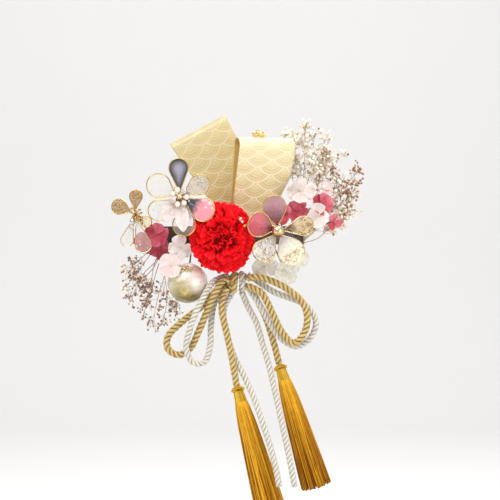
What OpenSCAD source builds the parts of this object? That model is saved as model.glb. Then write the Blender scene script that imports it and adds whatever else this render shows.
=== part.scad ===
// Bridal hairpin: silk-like flowers, brocade ribbon loops, a cord bow and two tassels
// on a bent bar with two prongs. Millimetres, +Z up, the flowers face -Y, the prongs run +Y.
// The origin is on the back of the bar, midway between the prongs.

/* [Pin frame] */
// Radius of the bar's back face, bent to the back of a head
head_r = 93; // [85:1:105]
// Thickness of the bar
bar_t = 2; // [1.5:0.5:3]
// Height of the bar
bar_h = 14; // [10:1:18]
// Angle that the bar reaches to the left
bar_left = 40; // [36:1:44]
// Angle that the bar reaches to the right
bar_right = 34; // [30:1:40]
// Radius of a prong's wire
prong_r = 1; // [0.8:0.1:1.4]
// Length of a prong behind the bar
prong_len = 60; // [45:1:70]
// Distance between the two prongs
prong_gap = 18; // [14:1:22]
// Radius of the flat weld at a prong's root
weld_r = 2.4; // [2.2:0.1:3]
// How far the weld stands out behind the bar's middle
weld_out = 1.2; // [1.2:0.1:2]

/* [Chrysanthemum] */
// Radius of the flower ball
mum_r = 26; // [24:0.5:26]
// How deep the grooves between its tiers of petals go
mum_groove = 3.2; // [2:0.2:4.5]
// Number of tiers of petals
mum_tiers = 9; // [7:1:10]
// How much taller than wide the flower is
mum_tall = 1.06; // [1:0.02:1.1]

/* [Ribbon loops] */
// Thickness of the brocade
ribbon_t = 1; // [1:0.1:1.5]
// Width of the left loop's band
ribbon_left_w = 47; // [42:1:50]
// Width of the right loop's band
ribbon_right_w = 45; // [40:1:46]
// Angle that the right loop is turned, so that its open side shows at the left
ribbon_right_yaw = 21; // [14:1:22]
// Radius of the left loop's top fold
fold_left_r = 5; // [4:0.5:5.5]
// Radius of the right loop's top fold
fold_right_r = 7; // [5:0.5:7.5]

/* [Wire flowers] */
// Radius of a petal's gold wire
wire_r = 0.45; // [0.35:0.05:0.6]
// Thickness of a petal's film
film_t = 0.4; // [0.3:0.05:0.5]
// Thickness of a milky inner petal
milky_t = 0.7; // [0.5:0.1:0.9]
// Radius of the left flower's gold bead
bead_left_r = 2.4; // [2:0.1:3]
// Radius of the right flower's gold bead
bead_right_r = 4.6; // [3.5:0.1:4.8]
// Radius of one pearl of the ring
pearl_r = 2.1; // [1.8:0.05:2.2]
// Number of pearls in the ring
pearls = 7; // [6:1:7]
// Radius of the small flower's silver bead
silver_r = 2.3; // [2:0.1:2.4]
// Radius of the small flower's clear drop
clear_r = 1.9; // [1.6:0.1:2.2]

/* [Ball and dried flowers] */
// Radius of the gold ball
ball_r = 15.3; // [13:0.1:16]
// Thickness of a hydrangea petal
petal_t = 0.8; // [0.6:0.1:1.2]
// Radius of a gypsophila bud
bud_r = 1.5; // [1:0.1:1.8]

/* [Cords and tassels] */
// Diameter of the gold cord
gold_d = 5.5; // [4.5:0.1:5.6]
// Diameter of the white cord
white_d = 5; // [4:0.1:5.2]
// Length of a tassel from its collar's top to its ends
tassel_len = 96; // [80:1:105]
// Half width of a tassel at its ends
tassel_r = 11.5; // [9:0.5:12]
// Number of locks round a tassel
tassel_locks = 9; // [7:1:12]

/* [Hidden] */
gap = 0.3;
head_front = head_r + bar_t;

// Hubs of the three wire flowers, and the middle of the ball and of the chrysanthemum
hub_left = [-40.5, -42, 27.6];
hub_right = [31.8, -42, 2.6];
hub_small = [-75.7, -10, 15.6];
mum_at = [-9.2, -30, -2];
ball_at = [-35.4, -22, -36];

// How far in front of the left flower's hub the milky petals and the pearls' middles lie
milky_front = 1.5;
pearl_front = 5.2;

// Petals of the wire flowers: direction in the face plane, reach, width, lift to the front
LEFT_PETALS = [
    // angle, reach, width, lift
    [151, 27, 18.5, 2],
    [92, 29, 15, 4],
    [32, 25.5, 15.5, 10],
    [-28, 30, 18, 18],
    [-80.5, 29.5, 17.6, 7.5],
    [212, 26.5, 16, 0]
];
LEFT_INNER = [
    // angle, reach, width, lift
    [236, 21.5, 12, 8],
    [277, 26.5, 10.6, 12],
    [296.5, 18, 6, 5]
];
RIGHT_PETALS = [
    // angle, reach, width, lift
    [98, 27, 17.8, 8],
    [161, 26, 19, 27],
    [235, 27.5, 17.5, 16],
    [303, 28.5, 20.5, 6],
    [11.5, 27, 15, 6]
];
SMALL_PETALS = [
    // angle, reach, width, lift
    [154, 20, 12.5, -10],
    [87, 19, 10.5, 4],
    [328, 15, 9, 10],
    [286, 31, 13, 12],
    [252, 26, 10.5, -8]
];

// Florets: middle, the way that it faces, petal length, roll, petals, foot on the bar
RED_LEFT = [
    // x, y, z, face x, face z, size, roll, petals, foot angle, foot z
    [-60, -8, 0.5, -0.3, 0.2, 9, 10, 4, -33.5, 3.5],
    [-58, 0, -9.5, -0.2, -0.3, 9, 50, 4, -32, -2],
    [-69, 5, -6, -0.6, -0.2, 8, 30, 4, -36, 1]
];
WHITE_LEFT = [
    // x, y, z, face x, face z, size, roll, petals, foot angle, foot z
    [-41.5, -14, -10, 0, -0.1, 9, 0, 4, -23, -2],
    [-47.5, -32, -23, -0.1, 0.1, 9, 40, 4, -28, -5]
];
RED_RIGHT = [
    // x, y, z, face x, face z, size, roll, petals, foot angle, foot z
    [33, -20, 16, 0, 0.1, 8.5, 45, 4, 22.5, 2],
    [47, -12, 17.5, 0.1, 0, 8.5, 10, 4, 25, 2],
    [75, -7, 10, 0.7, -0.2, 6, 60, 3, 29.5, -1],
    [65, -9, 24, 0.4, 0.1, 8.5, 20, 4, 27.5, 2]
];
WHITE_RIGHT = [
    // x, y, z, face x, face z, size, roll, petals, foot angle, foot z
    [50, -14, 33, 0.1, 0.3, 10.5, 5, 4, 26, 5.5],
    [68, -3, 34, 0.5, 0.4, 6.5, 30, 4, 28.5, 5.5],
    [61.5, -15, 14.5, 0.4, 0, 9, 0, 4, 30.5, 2]
];
PALE_RIGHT = [
    // x, y, z, face x, face z, size, roll, petals, foot angle, foot z
    [22.5, -13, -23.5, 0.1, -0.3, 9, 20, 4, 12, -5],
    [38.5, -9, -27.5, 0.3, -0.3, 9.5, 60, 4, 17, -5],
    [47, -6, -17, 0.5, -0.3, 8, 0, 4, 24, -4]
];

// Gypsophila sprigs: where each ends, and how many buds it bears
SPRIGS_RIGHT = [
    // x, y, z, buds
    [37, 3, 77, 4],
    [44, 2, 83, 5],
    [53, 0, 86, 5],
    [60, -5, 78, 5],
    [68, 2, 74, 5],
    [72, -3, 64, 5],
    [80, 5, 61, 5],
    [95, 8, 50, 5],
    [84, 1, 44, 4],
    [90, 15, 33, 4],
    [91, 18, 21, 4],
    [83, 17, 10, 3]
];
SPRIGS_LEFT = [
    // x, y, z, buds
    [-84, 4, -28, 4],
    [-86, 7, -42, 4],
    [-76, 1, -42, 4],
    [-81, 4, -53, 5],
    [-72, 7, -55, 4],
    [-72, -1, -65, 5],
    [-63, 2, -70, 5],
    [-55, -3, -66, 5],
    [-45, -3, -61, 4]
];

// The knot: two rings of cord side by side, axes along X
knot_gold_at = [-0.5, -21.5, -35.5];
knot_white_at = [5.5, -21.5, -34.5];
knot_gold_r = 5.75;
knot_white_r = 5.25;

// Routes of the cords, from the knot outwards
GOLD_LOOP_LEFT = [
    [-4.9, -27, -32.8], [-10, -29, -35.4], [-16, -31.5, -46], [-22, -31.5, -60],
    [-27.5, -30.5, -73], [-33, -28, -84], [-41.5, -26.5, -89.5], [-50, -26, -85],
    [-49.5, -25.5, -75], [-39, -25, -64.5], [-24.5, -24, -53], [-12.5, -20, -40],
    [-5.4, -16.6, -33]
];
WHITE_LOOP_LEFT = [
    [-4.5, -21.5, -30.4], [-10, -22, -32], [-17, -28, -36], [-23, -34, -46],
    [-29, -36, -58], [-34, -35.5, -72], [-36, -34, -84], [-31.5, -32, -94.5],
    [-22.5, -28, -94.5], [-18.5, -25, -83], [-18, -22.5, -68], [-16, -18, -53],
    [-10.5, -15, -43.5], [-4.9, -16, -39]
];
GOLD_LOOP_RIGHT = [
    [9.6, -26.9, -32.3], [17, -30.8, -31.3], [28, -32.5, -34.5], [40, -32.5, -41],
    [50, -31.5, -50], [53.8, -31, -61], [51.5, -30, -73], [43.5, -29, -80.5],
    [34.5, -29.5, -71.5], [27.5, -31, -57.5], [20, -31, -43.5], [9.8, -27, -38]
];
WHITE_LOOP_RIGHT = [
    [9.6, -21.5, -29.8], [17, -23.5, -34.5], [29, -25, -42.5], [42, -25, -47.5],
    [54, -25, -53], [60.5, -24.5, -65], [56, -23.5, -77.5], [45.5, -23, -83.5],
    [34, -24, -77], [26, -24.5, -65.5], [19, -25, -53], [10.3, -21.5, -40]
];
GOLD_TAIL_LEFT = [
    [-5.6, -26.5, -39.5], [-9, -25.5, -46], [-9.5, -27, -58], [-6, -26, -74],
    [-2.5, -24, -91], [1.2, -20.5, -113]
];
WHITE_TAIL_LEFT = [
    [-3.5, -20, -45.8], [-7.5, -19, -53], [-8.5, -19, -62], [-6.5, -19, -73], [-1.5, -18.5, -89],
    [7.5, -20, -107], [14.5, -23.5, -122.5], [20, -25.5, -138], [26, -27, -156.5],
    [30, -27.5, -171.5], [33, -28, -186.5]
];
GOLD_TAIL_RIGHT = [
    [10.6, -16, -38], [16, -13.5, -48], [23, -14.5, -62], [28.5, -15.5, -79],
    [33.2, -16, -97]
];
WHITE_TAIL_RIGHT = [
    [5, -20.5, -42.8], [9.5, -17, -53.5], [16, -16.5, -66], [21, -18.5, -83],
    [26, -20, -100], [30, -22, -117.5], [34, -24.5, -135], [38, -26, -153.5],
    [41.5, -27.5, -171], [44.3, -28, -186.5]
];

// Tassels: top of the collar and a point that the skirt points at
TASSEL_LEFT = [[1.4, -20.2, -113.5], [26.8, -14, -207.5]];
TASSEL_RIGHT = [[33.4, -16, -97.5], [61.8, -14, -190.5]];

// Sections of a tassel: share of its length, share of its half width, depth of the grooves
TASSEL_SECTIONS = [
    // along, radius, groove
    [0, 0.24, 0],
    [0.003, 0.42, 0],
    [0.04, 0.45, 0],
    [0.046, 0.33, 0],
    [0.09, 0.38, 0],
    [0.13, 0.38, 0.02],
    [0.145, 0.46, 0.06],
    [0.3, 0.62, 0.10],
    [0.55, 0.76, 0.12],
    [0.8, 0.9, 0.14],
    [0.985, 1, 0.16]
];

// A unit vector along v
function unit(v) = v / norm(v);

// A point in front of the bar at an angle from the middle and a height
function seat(angle, z, off) = [
    (head_front + off) * sin(angle), head_r - (head_front + off) * cos(angle), z
];

// Turns what is drawn along +Z from the origin to run from a towards b
module aim(a, b) {
    d = unit(b - a);
    translate(a) rotate([0, acos(d.z), atan2(d.y, d.x)]) children();
}

// A straight round wire from a to b
module rod(a, b, r) aim(a, b) cylinder(r = r, h = norm(b - a), $fn = 24);

// Pin frame: a bar bent to the head and two prongs with round tips, welded on at flat roots
module pin_frame() color("dimgray") {
    translate([0, head_r, -bar_h / 2])
        rotate([0, 0, -90 - bar_left])
            rotate_extrude(angle = bar_left + bar_right, $fn = 180)
                translate([head_r, 0]) square([bar_t, bar_h]);
    for (side = [-1, 1]) translate([side * prong_gap / 2, -bar_t / 2, 0]) {
        rotate([-90, 0, 0]) cylinder(r = prong_r, h = prong_len + bar_t / 2, $fn = 32);
        rotate([-90, 0, 0]) cylinder(r = weld_r, h = weld_out + bar_t / 2, $fn = 32);
        translate([0, prong_len + bar_t / 2, 0]) sphere(r = prong_r, $fn = 32);
    }
}

// Chrysanthemum: tiers of ruffled petals round an axis that points to the front
MUM_ROUND = 48;
mum_back = 148;
mum_stem_r = 4.5;
function mum_petals(tier) = 6 + 3 * tier;
function mum_lip(tier, turn) = let (wave = abs(sin(turn * mum_petals(tier) / 2 + tier * 67)))
    mum_r * (0.955 + 0.045 * wave);
function mum_ring(polar, radii) = [
    for (i = [0:MUM_ROUND - 1]) let (turn = 360 * i / MUM_ROUND)
        radii[i] * [sin(polar) * cos(turn), -cos(polar), mum_tall * sin(polar) * sin(turn)]
];
function mum_tier(tier) = let (
    polar = mum_back * (tier + 0.5) / mum_tiers,
    step = mum_back / mum_tiers,
    lip = [for (i = [0:MUM_ROUND - 1]) mum_lip(tier, 360 * i / MUM_ROUND)],
    groove = [for (i = [0:MUM_ROUND - 1]) mum_r - mum_groove]
) concat(mum_ring(polar - 0.25 * step, lip), mum_ring(polar + 0.3 * step, groove));
function mum_stub(y, r) = [
    for (i = [0:MUM_ROUND - 1]) let (turn = 360 * i / MUM_ROUND) [r * cos(turn), y, r * sin(turn)]
];
module mum() color("crimson") {
    seat_y = -(bar_t + gap) - mum_at.y;
    rings = concat(
        [for (tier = [0:mum_tiers - 1]) each mum_tier(tier)],
        mum_stub(mum_r * 0.9, mum_stem_r),
        mum_stub(seat_y, mum_stem_r)
    );
    translate(mum_at) skin(rings, MUM_ROUND);
}

// Closed skin over rings of n points each, with flat ends
module skin(points, n) {
    rows = len(points) / n;
    sides = [
        for (row = [0:rows - 2]) for (i = [0:n - 1]) let (
            a = row * n + i,
            b = row * n + (i + 1) % n
        ) each [[a, b + n, a + n], [a, b, b + n]]
    ];
    first = [for (i = [0:n - 1]) n - 1 - i];
    last = [for (i = [0:n - 1]) (rows - 1) * n + i];
    polyhedron(points, concat([first], sides, [last]));
}

// Side view of a folded band: a round fold at the top, two sides that meet at the foot
module drop_2d(fold, r, foot, foot_half) {
    translate(fold) circle(r = r, $fn = 96);
    polygon([foot + [-foot_half, 0], foot + [foot_half, 0], fold + [r, 0], fold - [r, 0]]);
}

// A ribbon loop: the folded band, cut to its outline from the front
module ribbon_loop(outline, fold, fold_r, foot) intersection() {
    rotate([90, 0, 90]) translate([0, 0, -60]) linear_extrude(120) difference() {
        drop_2d(fold, fold_r, foot, ribbon_t + 0.2);
        drop_2d(fold, fold_r - ribbon_t, foot + [0, 4], 0.2);
    }
    rotate([90, 0, 0]) translate([0, 0, -60]) linear_extrude(120) polygon(outline);
}

// The left loop leans: its outline is drawn upright and turned about the fold's middle
module ribbon_loop_left() color("goldenrod") {
    half = ribbon_left_w / 2;
    top = 76;
    translate([-29, 0, 80.7]) rotate([0, -28, 0]) translate([0, 0, -top])
        ribbon_loop(
            [[-half, top + 5], [half, top + 5], [half, 46], [8, 22], [-6, -4.3], [-14, -4.3],
             [-half + 3, 48], [-half, top - 4]],
            [-2, top - fold_left_r], fold_left_r, [-3.6, -5.2]
        );
}
ribbon_right_top = 73.4;
module ribbon_loop_right() color("gold") {
    left = -5.4;
    right = left + ribbon_right_w;
    foot = [12, -3.6, 4];
    translate([foot.x, foot.y, 0]) rotate([0, 0, ribbon_right_yaw]) translate([-foot.x, -foot.y, 0])
        ribbon_loop(
            [[left, ribbon_right_top + 3], [right, ribbon_right_top + 3], [right, 60],
             [right - 1, 44], [right - 8, 28], [17, 4.5], [7, 4.5], [left, 26]],
            [-19, ribbon_right_top - fold_right_r], fold_right_r, [foot.y, foot.z]
        );
}

// Outline of a petal: two straight sides from the apex, a round tip, drawn in by an inset
petal_apex = 2.2;
function petal_outline(reach, w, inset) = let (
    r = w / 2 - inset,
    middle = reach - w / 2,
    apex = petal_apex + 3 * inset,
    half = asin(r / (middle - apex)),
    steps = 14
) concat(
    [[apex, 0]],
    [for (i = [0:steps]) let (turn = (90 + half) * (2 * i / steps - 1))
        [middle + r * cos(turn), r * sin(turn)]]
);

// Lays a petal out from its hub: angle in the face plane, lift to the front
module petal_place(hub, angle, lift) {
    translate(hub) rotate([90, 0, 0]) rotate([0, 0, angle]) rotate([0, -lift, 0]) children();
}

// A petal of film in a loop of wire
module wire_petal(hub, row) petal_place(hub, row[0], row[3]) {
    translate([0, 0, -wire_r]) linear_extrude(2 * wire_r) difference() {
        polygon(petal_outline(row[1], row[2], 0));
        polygon(petal_outline(row[1], row[2], 2 * wire_r));
    }
    translate([0, 0, -film_t / 2]) linear_extrude(film_t)
        polygon(petal_outline(row[1], row[2], wire_r));
}

// A milky petal without wire
module milky_petal(hub, row) petal_place(hub, row[0], row[3])
    translate([0, 0, -milky_t / 2]) linear_extrude(milky_t)
        polygon(petal_outline(row[1], row[2], 0));

// A bead on its twisted wire stem, which runs back to the bar; lead: from the hub to the bead
stem_r = 1.4;
module bead_on_stem(hub, r, at, stem, lead = 1) {
    translate(hub + [0, -lead - r, 0]) sphere(r = r, $fn = 48);
    rod(hub + [0, -1.5 - r / 2, 0], hub, stem);
    rod(hub, at, stem);
}

module flower_left_bead() color("gold")
    bead_on_stem(hub_left, bead_left_r, seat(-26, 4, gap + 1), stem_r);
module flower_left_pearls() color("ivory") {
    ring_r = bead_left_r + pearl_r + 0.6;
    for (i = [0:pearls - 1])
        translate(hub_left + [ring_r * cos(i * 360 / pearls), -pearl_front, ring_r * sin(i * 360 / pearls)])
            sphere(r = pearl_r, $fn = 32);
}
module flower_right_bead() color("gold")
    bead_on_stem(hub_right, bead_right_r, seat(19, 1, gap + 0.6), stem_r, 1.3);

// The small flower's silver bead hangs below its hub, and a clear drop hangs under the bead
silver_at = hub_small + [-1.9, -3.3, -5.4];
clear_at = hub_small + [-2.3, -5, -10];
module flower_small_bead_1() color("silver") {
    front = 2.2;
    translate(silver_at) sphere(r = silver_r, $fn = 48);
    rod(hub_small - [0, front - wire_r, 0], silver_at, wire_r);
    rod(hub_small - [0, front, 0], hub_small, stem_r);
    rod(hub_small, seat(-38, 4, gap + 0.6), stem_r);
}
module flower_small_bead_2() color("lightyellow") {
    ahead = unit(silver_at - clear_at);
    apart = norm(silver_at - clear_at) - silver_r - gap;
    translate(clear_at) sphere(r = clear_r, $fn = 32);
    rod(clear_at + (clear_r - 0.5) * ahead, clear_at + apart * ahead, wire_r);
}

// Gold ball on its wire
module gold_ball() color("khaki") {
    foot = seat(-20, -3, gap + 0.5);
    translate(ball_at) sphere(r = ball_r, $fn = 96);
    rod(ball_at + (ball_r - 1) * unit(foot - ball_at), foot, 0.8);
}

// A ring of points round a place, square to the way ahead; radii may differ round it
function ring(at, ahead, radii, ref) = let (
    across = unit(cross(ahead, ref)),
    up = cross(across, ahead),
    n = len(radii)
) [for (k = [0:n - 1]) let (turn = 360 * k / n)
    at + radii[k] * (cos(turn) * across + sin(turn) * up)];
function even(r, n) = [for (k = [1:n]) r];

// One floret on its stalk: a thin cupped plate with lobes, drawn in to a stalk at the back
FLORET_ROUND = 20;
stalk_r = 0.5;
module floret(row) {
    face = unit([row[3], -1, row[4]]);
    size = row[5];
    middle = [row[0], row[1], row[2]];
    foot = seat(row[8], row[9], gap + 0.35);
    neck = middle - 3 * face;
    up = [0, 0, 1];
    lobes = [for (k = [0:FLORET_ROUND - 1])
        size * (0.5 + 0.5 * sqrt(abs(cos(row[7] * (180 * k / FLORET_ROUND - row[6] / 2)))))];
    // Share of the outline and height of the cup, over the front and back over the rear
    front = [[0.15, 0.1], [0.6, 0.12], [1, 0.3]];
    points = concat(
        [for (f = front) each ring(middle + f[1] * size * face, -face, f[0] * lobes, up)],
        [for (i = [2, 1]) each
            ring(middle + (front[i][1] * size - petal_t) * face, -face, front[i][0] * lobes, up)],
        ring(neck, -face, even(stalk_r, FLORET_ROUND), up),
        ring(foot, unit(foot - neck), even(stalk_r, FLORET_ROUND), up)
    );
    skin(points, FLORET_ROUND);
}

// A sprig of gypsophila: a swaying stem that swells into buds along its outer half
SPRIG_SIDES = 4;
sprig_sway = 2.2;
sprig_r = 0.45;
module sprig(foot, row) {
    tip = [row[0], row[1], row[2]];
    n = row[3];
    side = unit(cross(tip - foot, [0, 1, 0]));
    places = [for (i = [0:n]) i == 0 ? foot : foot + (tip - foot) * (0.45 + 0.55 * i / n)
        + (i == n ? 0 : (i % 2 == 0 ? 1 : -1)) * sprig_sway * side];
    y = [0, 1, 0];
    points = concat(
        ring(foot, run(places, 0), even(sprig_r, SPRIG_SIDES), y),
        [for (i = [1:n]) let (ahead = run(places, i)) each concat(
            ring(places[i] - bud_r * ahead, ahead, even(sprig_r, SPRIG_SIDES), y),
            ring(places[i], ahead, even(bud_r, SPRIG_SIDES), y),
            ring(places[i] + bud_r * ahead, ahead, even(sprig_r, SPRIG_SIDES), y)
        )]
    );
    skin(points, SPRIG_SIDES);
}
module gypsophila_left() color("tan") for (i = [0:len(SPRIGS_LEFT) - 1])
    sprig(seat(-38.5 + 1.05 * i, -5.5, gap + 0.35), SPRIGS_LEFT[i]);
module gypsophila_right() color("wheat") for (i = [0:len(SPRIGS_RIGHT) - 1])
    sprig(seat(33, 6.3 - 1.12 * i, gap + 0.35), SPRIGS_RIGHT[i]);

// Crumpled bit of gold foil on the right ribbon loop
module gold_leaf() color("gold") {
    sizes = [[0.8, 0], [3.6, 0.5], [4.2, 1.6], [2.6, 3.2], [1, 4.4]];
    points = [
        for (i = [0:len(sizes) - 1]) each ring(
            [17 + 0.5 * i, -17.5, ribbon_right_top + gap + sizes[i][1]], [0, 0, 1],
            [for (k = [0:11]) sizes[i][0] * (1 + 0.3 * sin(150 * k + 70 * i))], [0, 1, 0]
        )
    ];
    skin(points, 12);
}

// Knot: a ring of cord round the bundle, with the core of the bundle inside it
module knot_ring(at, ring_r, cord_d) {
    translate(at) rotate([0, 90, 0]) {
        rotate_extrude($fn = 64) translate([ring_r, 0]) circle(d = cord_d, $fn = 32);
        translate([0, 0, -cord_d / 2]) cylinder(r = ring_r - 0.6, h = cord_d, $fn = 32);
    }
}
module knot_gold() color("goldenrod") {
    knot_ring(knot_gold_at, knot_gold_r, gold_d);
    rod(knot_gold_at + [0, knot_gold_r, 0], [knot_gold_at.x, -(bar_t + gap + 0.9), -3], 0.9);
}
module knot_white() color("ivory") knot_ring(knot_white_at, knot_white_r, white_d);

// The way that a route runs at its point i
function run(route, i) = unit(route[min(i + 1, len(route) - 1)] - route[max(i - 1, 0)]);

// A cord's tube: a ring of points at each point of the route, square to its run
CORD_SIDES = 8;
module cord(route, d) skin(
    [for (i = [0:len(route) - 1])
        each ring(route[i], run(route, i), even(d / 2, CORD_SIDES), [0, 1, 0])],
    CORD_SIDES
);

// Tassel: collar, neck and a skirt of locks, one skin over the sections of its axis
TASSEL_ROUND = 4 * tassel_locks;
function tassel_radii(row) = [
    for (k = [0:TASSEL_ROUND - 1]) let (turn = 360 * k / TASSEL_ROUND)
        tassel_r * row[1] * (1 - row[2] * (0.5 + 0.5 * cos(turn * tassel_locks)))
];
module tassel(axis) color("goldenrod") {
    ahead = unit(axis[1] - axis[0]);
    rings = [
        for (row = TASSEL_SECTIONS)
            each ring(axis[0] + row[0] * tassel_len * ahead, ahead, tassel_radii(row), [0, 1, 0])
    ];
    skin(rings, TASSEL_ROUND);
}

pin_frame();
mum();
ribbon_loop_left();
ribbon_loop_right();
for (i = [1:len(LEFT_PETALS)])
    color("burlywood") wire_petal(hub_left, LEFT_PETALS[i - 1]);
for (i = [1:len(LEFT_INNER)])
    color("mistyrose") milky_petal(hub_left - [0, milky_front, 0], LEFT_INNER[i - 1]);
flower_left_bead();
flower_left_pearls();
for (i = [1:len(RIGHT_PETALS)])
    color("tan") wire_petal(hub_right, RIGHT_PETALS[i - 1]);
flower_right_bead();
for (i = [1:len(SMALL_PETALS)])
    color("darkgoldenrod") wire_petal(hub_small, SMALL_PETALS[i - 1]);
flower_small_bead_1();
flower_small_bead_2();
for (i = [1:len(RED_LEFT)])
    color("firebrick") floret(RED_LEFT[i - 1]);
for (i = [1:len(WHITE_LEFT)])
    color("mistyrose") floret(WHITE_LEFT[i - 1]);
for (i = [1:len(RED_RIGHT)])
    color("firebrick") floret(RED_RIGHT[i - 1]);
for (i = [1:len(WHITE_RIGHT)])
    color("white") floret(WHITE_RIGHT[i - 1]);
for (i = [1:len(PALE_RIGHT)])
    color("honeydew") floret(PALE_RIGHT[i - 1]);
gold_ball();
gypsophila_left();
gypsophila_right();
gold_leaf();
knot_gold();
knot_white();
color("goldenrod") cord(GOLD_LOOP_LEFT, gold_d);  // gold_loop_left
color("ivory") cord(WHITE_LOOP_LEFT, white_d);  // white_loop_left
color("goldenrod") cord(GOLD_LOOP_RIGHT, gold_d);  // gold_loop_right
color("ivory") cord(WHITE_LOOP_RIGHT, white_d);  // white_loop_right
color("goldenrod") cord(GOLD_TAIL_LEFT, gold_d);  // gold_tail_left
color("ivory") cord(WHITE_TAIL_LEFT, white_d);  // white_tail_left
color("goldenrod") cord(GOLD_TAIL_RIGHT, gold_d);  // gold_tail_right
color("ivory") cord(WHITE_TAIL_RIGHT, white_d);  // white_tail_right
tassel(TASSEL_LEFT);  // tassel_left
tassel(TASSEL_RIGHT);  // tassel_right
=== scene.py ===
"""Looks of the bridal hairpin: flowers, brocade loops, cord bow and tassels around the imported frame.

Lengths are millimetres in the row's frame until a mesh is made; Blender gets metres.
"""
import math

import bpy
import numpy as np
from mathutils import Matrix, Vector, noise


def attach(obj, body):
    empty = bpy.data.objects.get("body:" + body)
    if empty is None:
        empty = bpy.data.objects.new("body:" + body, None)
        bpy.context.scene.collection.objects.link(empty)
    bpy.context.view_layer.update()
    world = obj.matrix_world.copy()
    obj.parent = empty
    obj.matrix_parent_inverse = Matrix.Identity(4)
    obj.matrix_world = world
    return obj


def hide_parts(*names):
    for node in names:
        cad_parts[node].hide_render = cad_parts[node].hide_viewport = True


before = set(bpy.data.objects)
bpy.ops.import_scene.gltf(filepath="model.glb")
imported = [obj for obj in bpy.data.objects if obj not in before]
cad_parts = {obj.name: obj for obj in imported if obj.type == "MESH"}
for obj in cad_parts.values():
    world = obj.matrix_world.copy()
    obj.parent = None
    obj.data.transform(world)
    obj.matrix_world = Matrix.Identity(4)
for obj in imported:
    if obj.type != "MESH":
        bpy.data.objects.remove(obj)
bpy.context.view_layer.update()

MM = 0.001
BODY = "root"

# Camera: the photograph's view, straight along +Y
CAMERA_AT = np.array([11.25, -1200.0, -11.25])
FOCAL_PX = 1573.3
FRAME_PX = 500
SENSOR_MM = 36.0
NEAR_M, FAR_M = 0.01, 20


def make_camera():
    data = bpy.data.cameras.new("camera")
    data.sensor_width = SENSOR_MM
    data.lens = FOCAL_PX / FRAME_PX * SENSOR_MM
    data.clip_start = NEAR_M
    data.clip_end = FAR_M
    camera = bpy.data.objects.new("camera", data)
    camera.location = CAMERA_AT * MM
    camera.rotation_euler = (math.radians(90), 0, 0)
    bpy.context.collection.objects.link(camera)
    bpy.context.scene.camera = camera


def at_pixel(px, py, y):
    """The point of the photograph's pixel (px, py) at depth y."""
    k = (y - CAMERA_AT[1]) / FOCAL_PX
    half = FRAME_PX / 2
    return np.array([CAMERA_AT[0] + (px - half) * k, y, CAMERA_AT[2] - (py - half) * k])


# Curves and frames

CURVE_PARTS = 24


def unit(v):
    v = np.asarray(v, float)
    return v / np.maximum(np.linalg.norm(v, axis=-1, keepdims=True), 1e-9)


def lerp(a, b, t):
    return a + (b - a) * t


def smooth_path(points, step):
    """A Catmull-Rom curve through the points, resampled about every step."""
    p = np.asarray(points, float)
    p = np.vstack([2 * p[0] - p[1], p, 2 * p[-1] - p[-2]])
    out = []
    for i in range(1, len(p) - 2):
        t = np.linspace(0, 1, CURVE_PARTS, endpoint=False)[:, None]
        a, b, c, d = p[i - 1], p[i], p[i + 1], p[i + 2]
        out.append(0.5 * (2 * b + (c - a) * t + (2 * a - 5 * b + 4 * c - d) * t ** 2
                          + (3 * b - a - 3 * c + d) * t ** 3))
    return resample(np.vstack(out + [p[-2][None]]), step)


def lengths_along(path):
    return np.concatenate([[0], np.cumsum(np.linalg.norm(np.diff(path, axis=0), axis=1))])


def resample(path, step):
    s = lengths_along(path)
    n = max(3, int(round(s[-1] / step)) + 1)
    at = np.linspace(0, s[-1], n)
    return np.stack([np.interp(at, s, path[:, k]) for k in range(3)], 1)


def carried_frames(path):
    """Tangent, side and up at each point, carried along with as little turning as possible."""
    tangent = unit(np.gradient(path, axis=0))
    side = np.zeros_like(path)
    start = np.cross(tangent[0], (0, 1, 0))
    if np.linalg.norm(start) < 0.05:
        start = np.cross(tangent[0], (1, 0, 0))
    side[0] = unit(start)
    for i in range(1, len(path)):
        side[i] = unit(side[i - 1] - tangent[i] * np.dot(side[i - 1], tangent[i]))
    return tangent, side, np.cross(tangent, side)


def coil_round(path, radius, turn):
    """A path that winds round another one, at the angle turn for each point."""
    _, side, up = carried_frames(path)
    turn = np.reshape(turn, (-1, 1))
    return path + radius * (np.cos(turn) * side + np.sin(turn) * up)


# Meshes

def joined(*parts):
    """Coordinates joined to one array of points, each stretched to fit the others."""
    return np.stack(np.broadcast_arrays(*parts), -1)


def grid_faces(rows, cols, wrap=False):
    """Quads over rows of cols points; wrap joins the last column to the first."""
    r, c = np.meshgrid(np.arange(rows - 1), np.arange(cols if wrap else cols - 1), indexing="ij")
    nxt = (c + 1) % cols
    near, far = r * cols, (r + 1) * cols
    return np.stack([near + c, near + nxt, far + nxt, far + c], -1).reshape(-1, 4)


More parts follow.
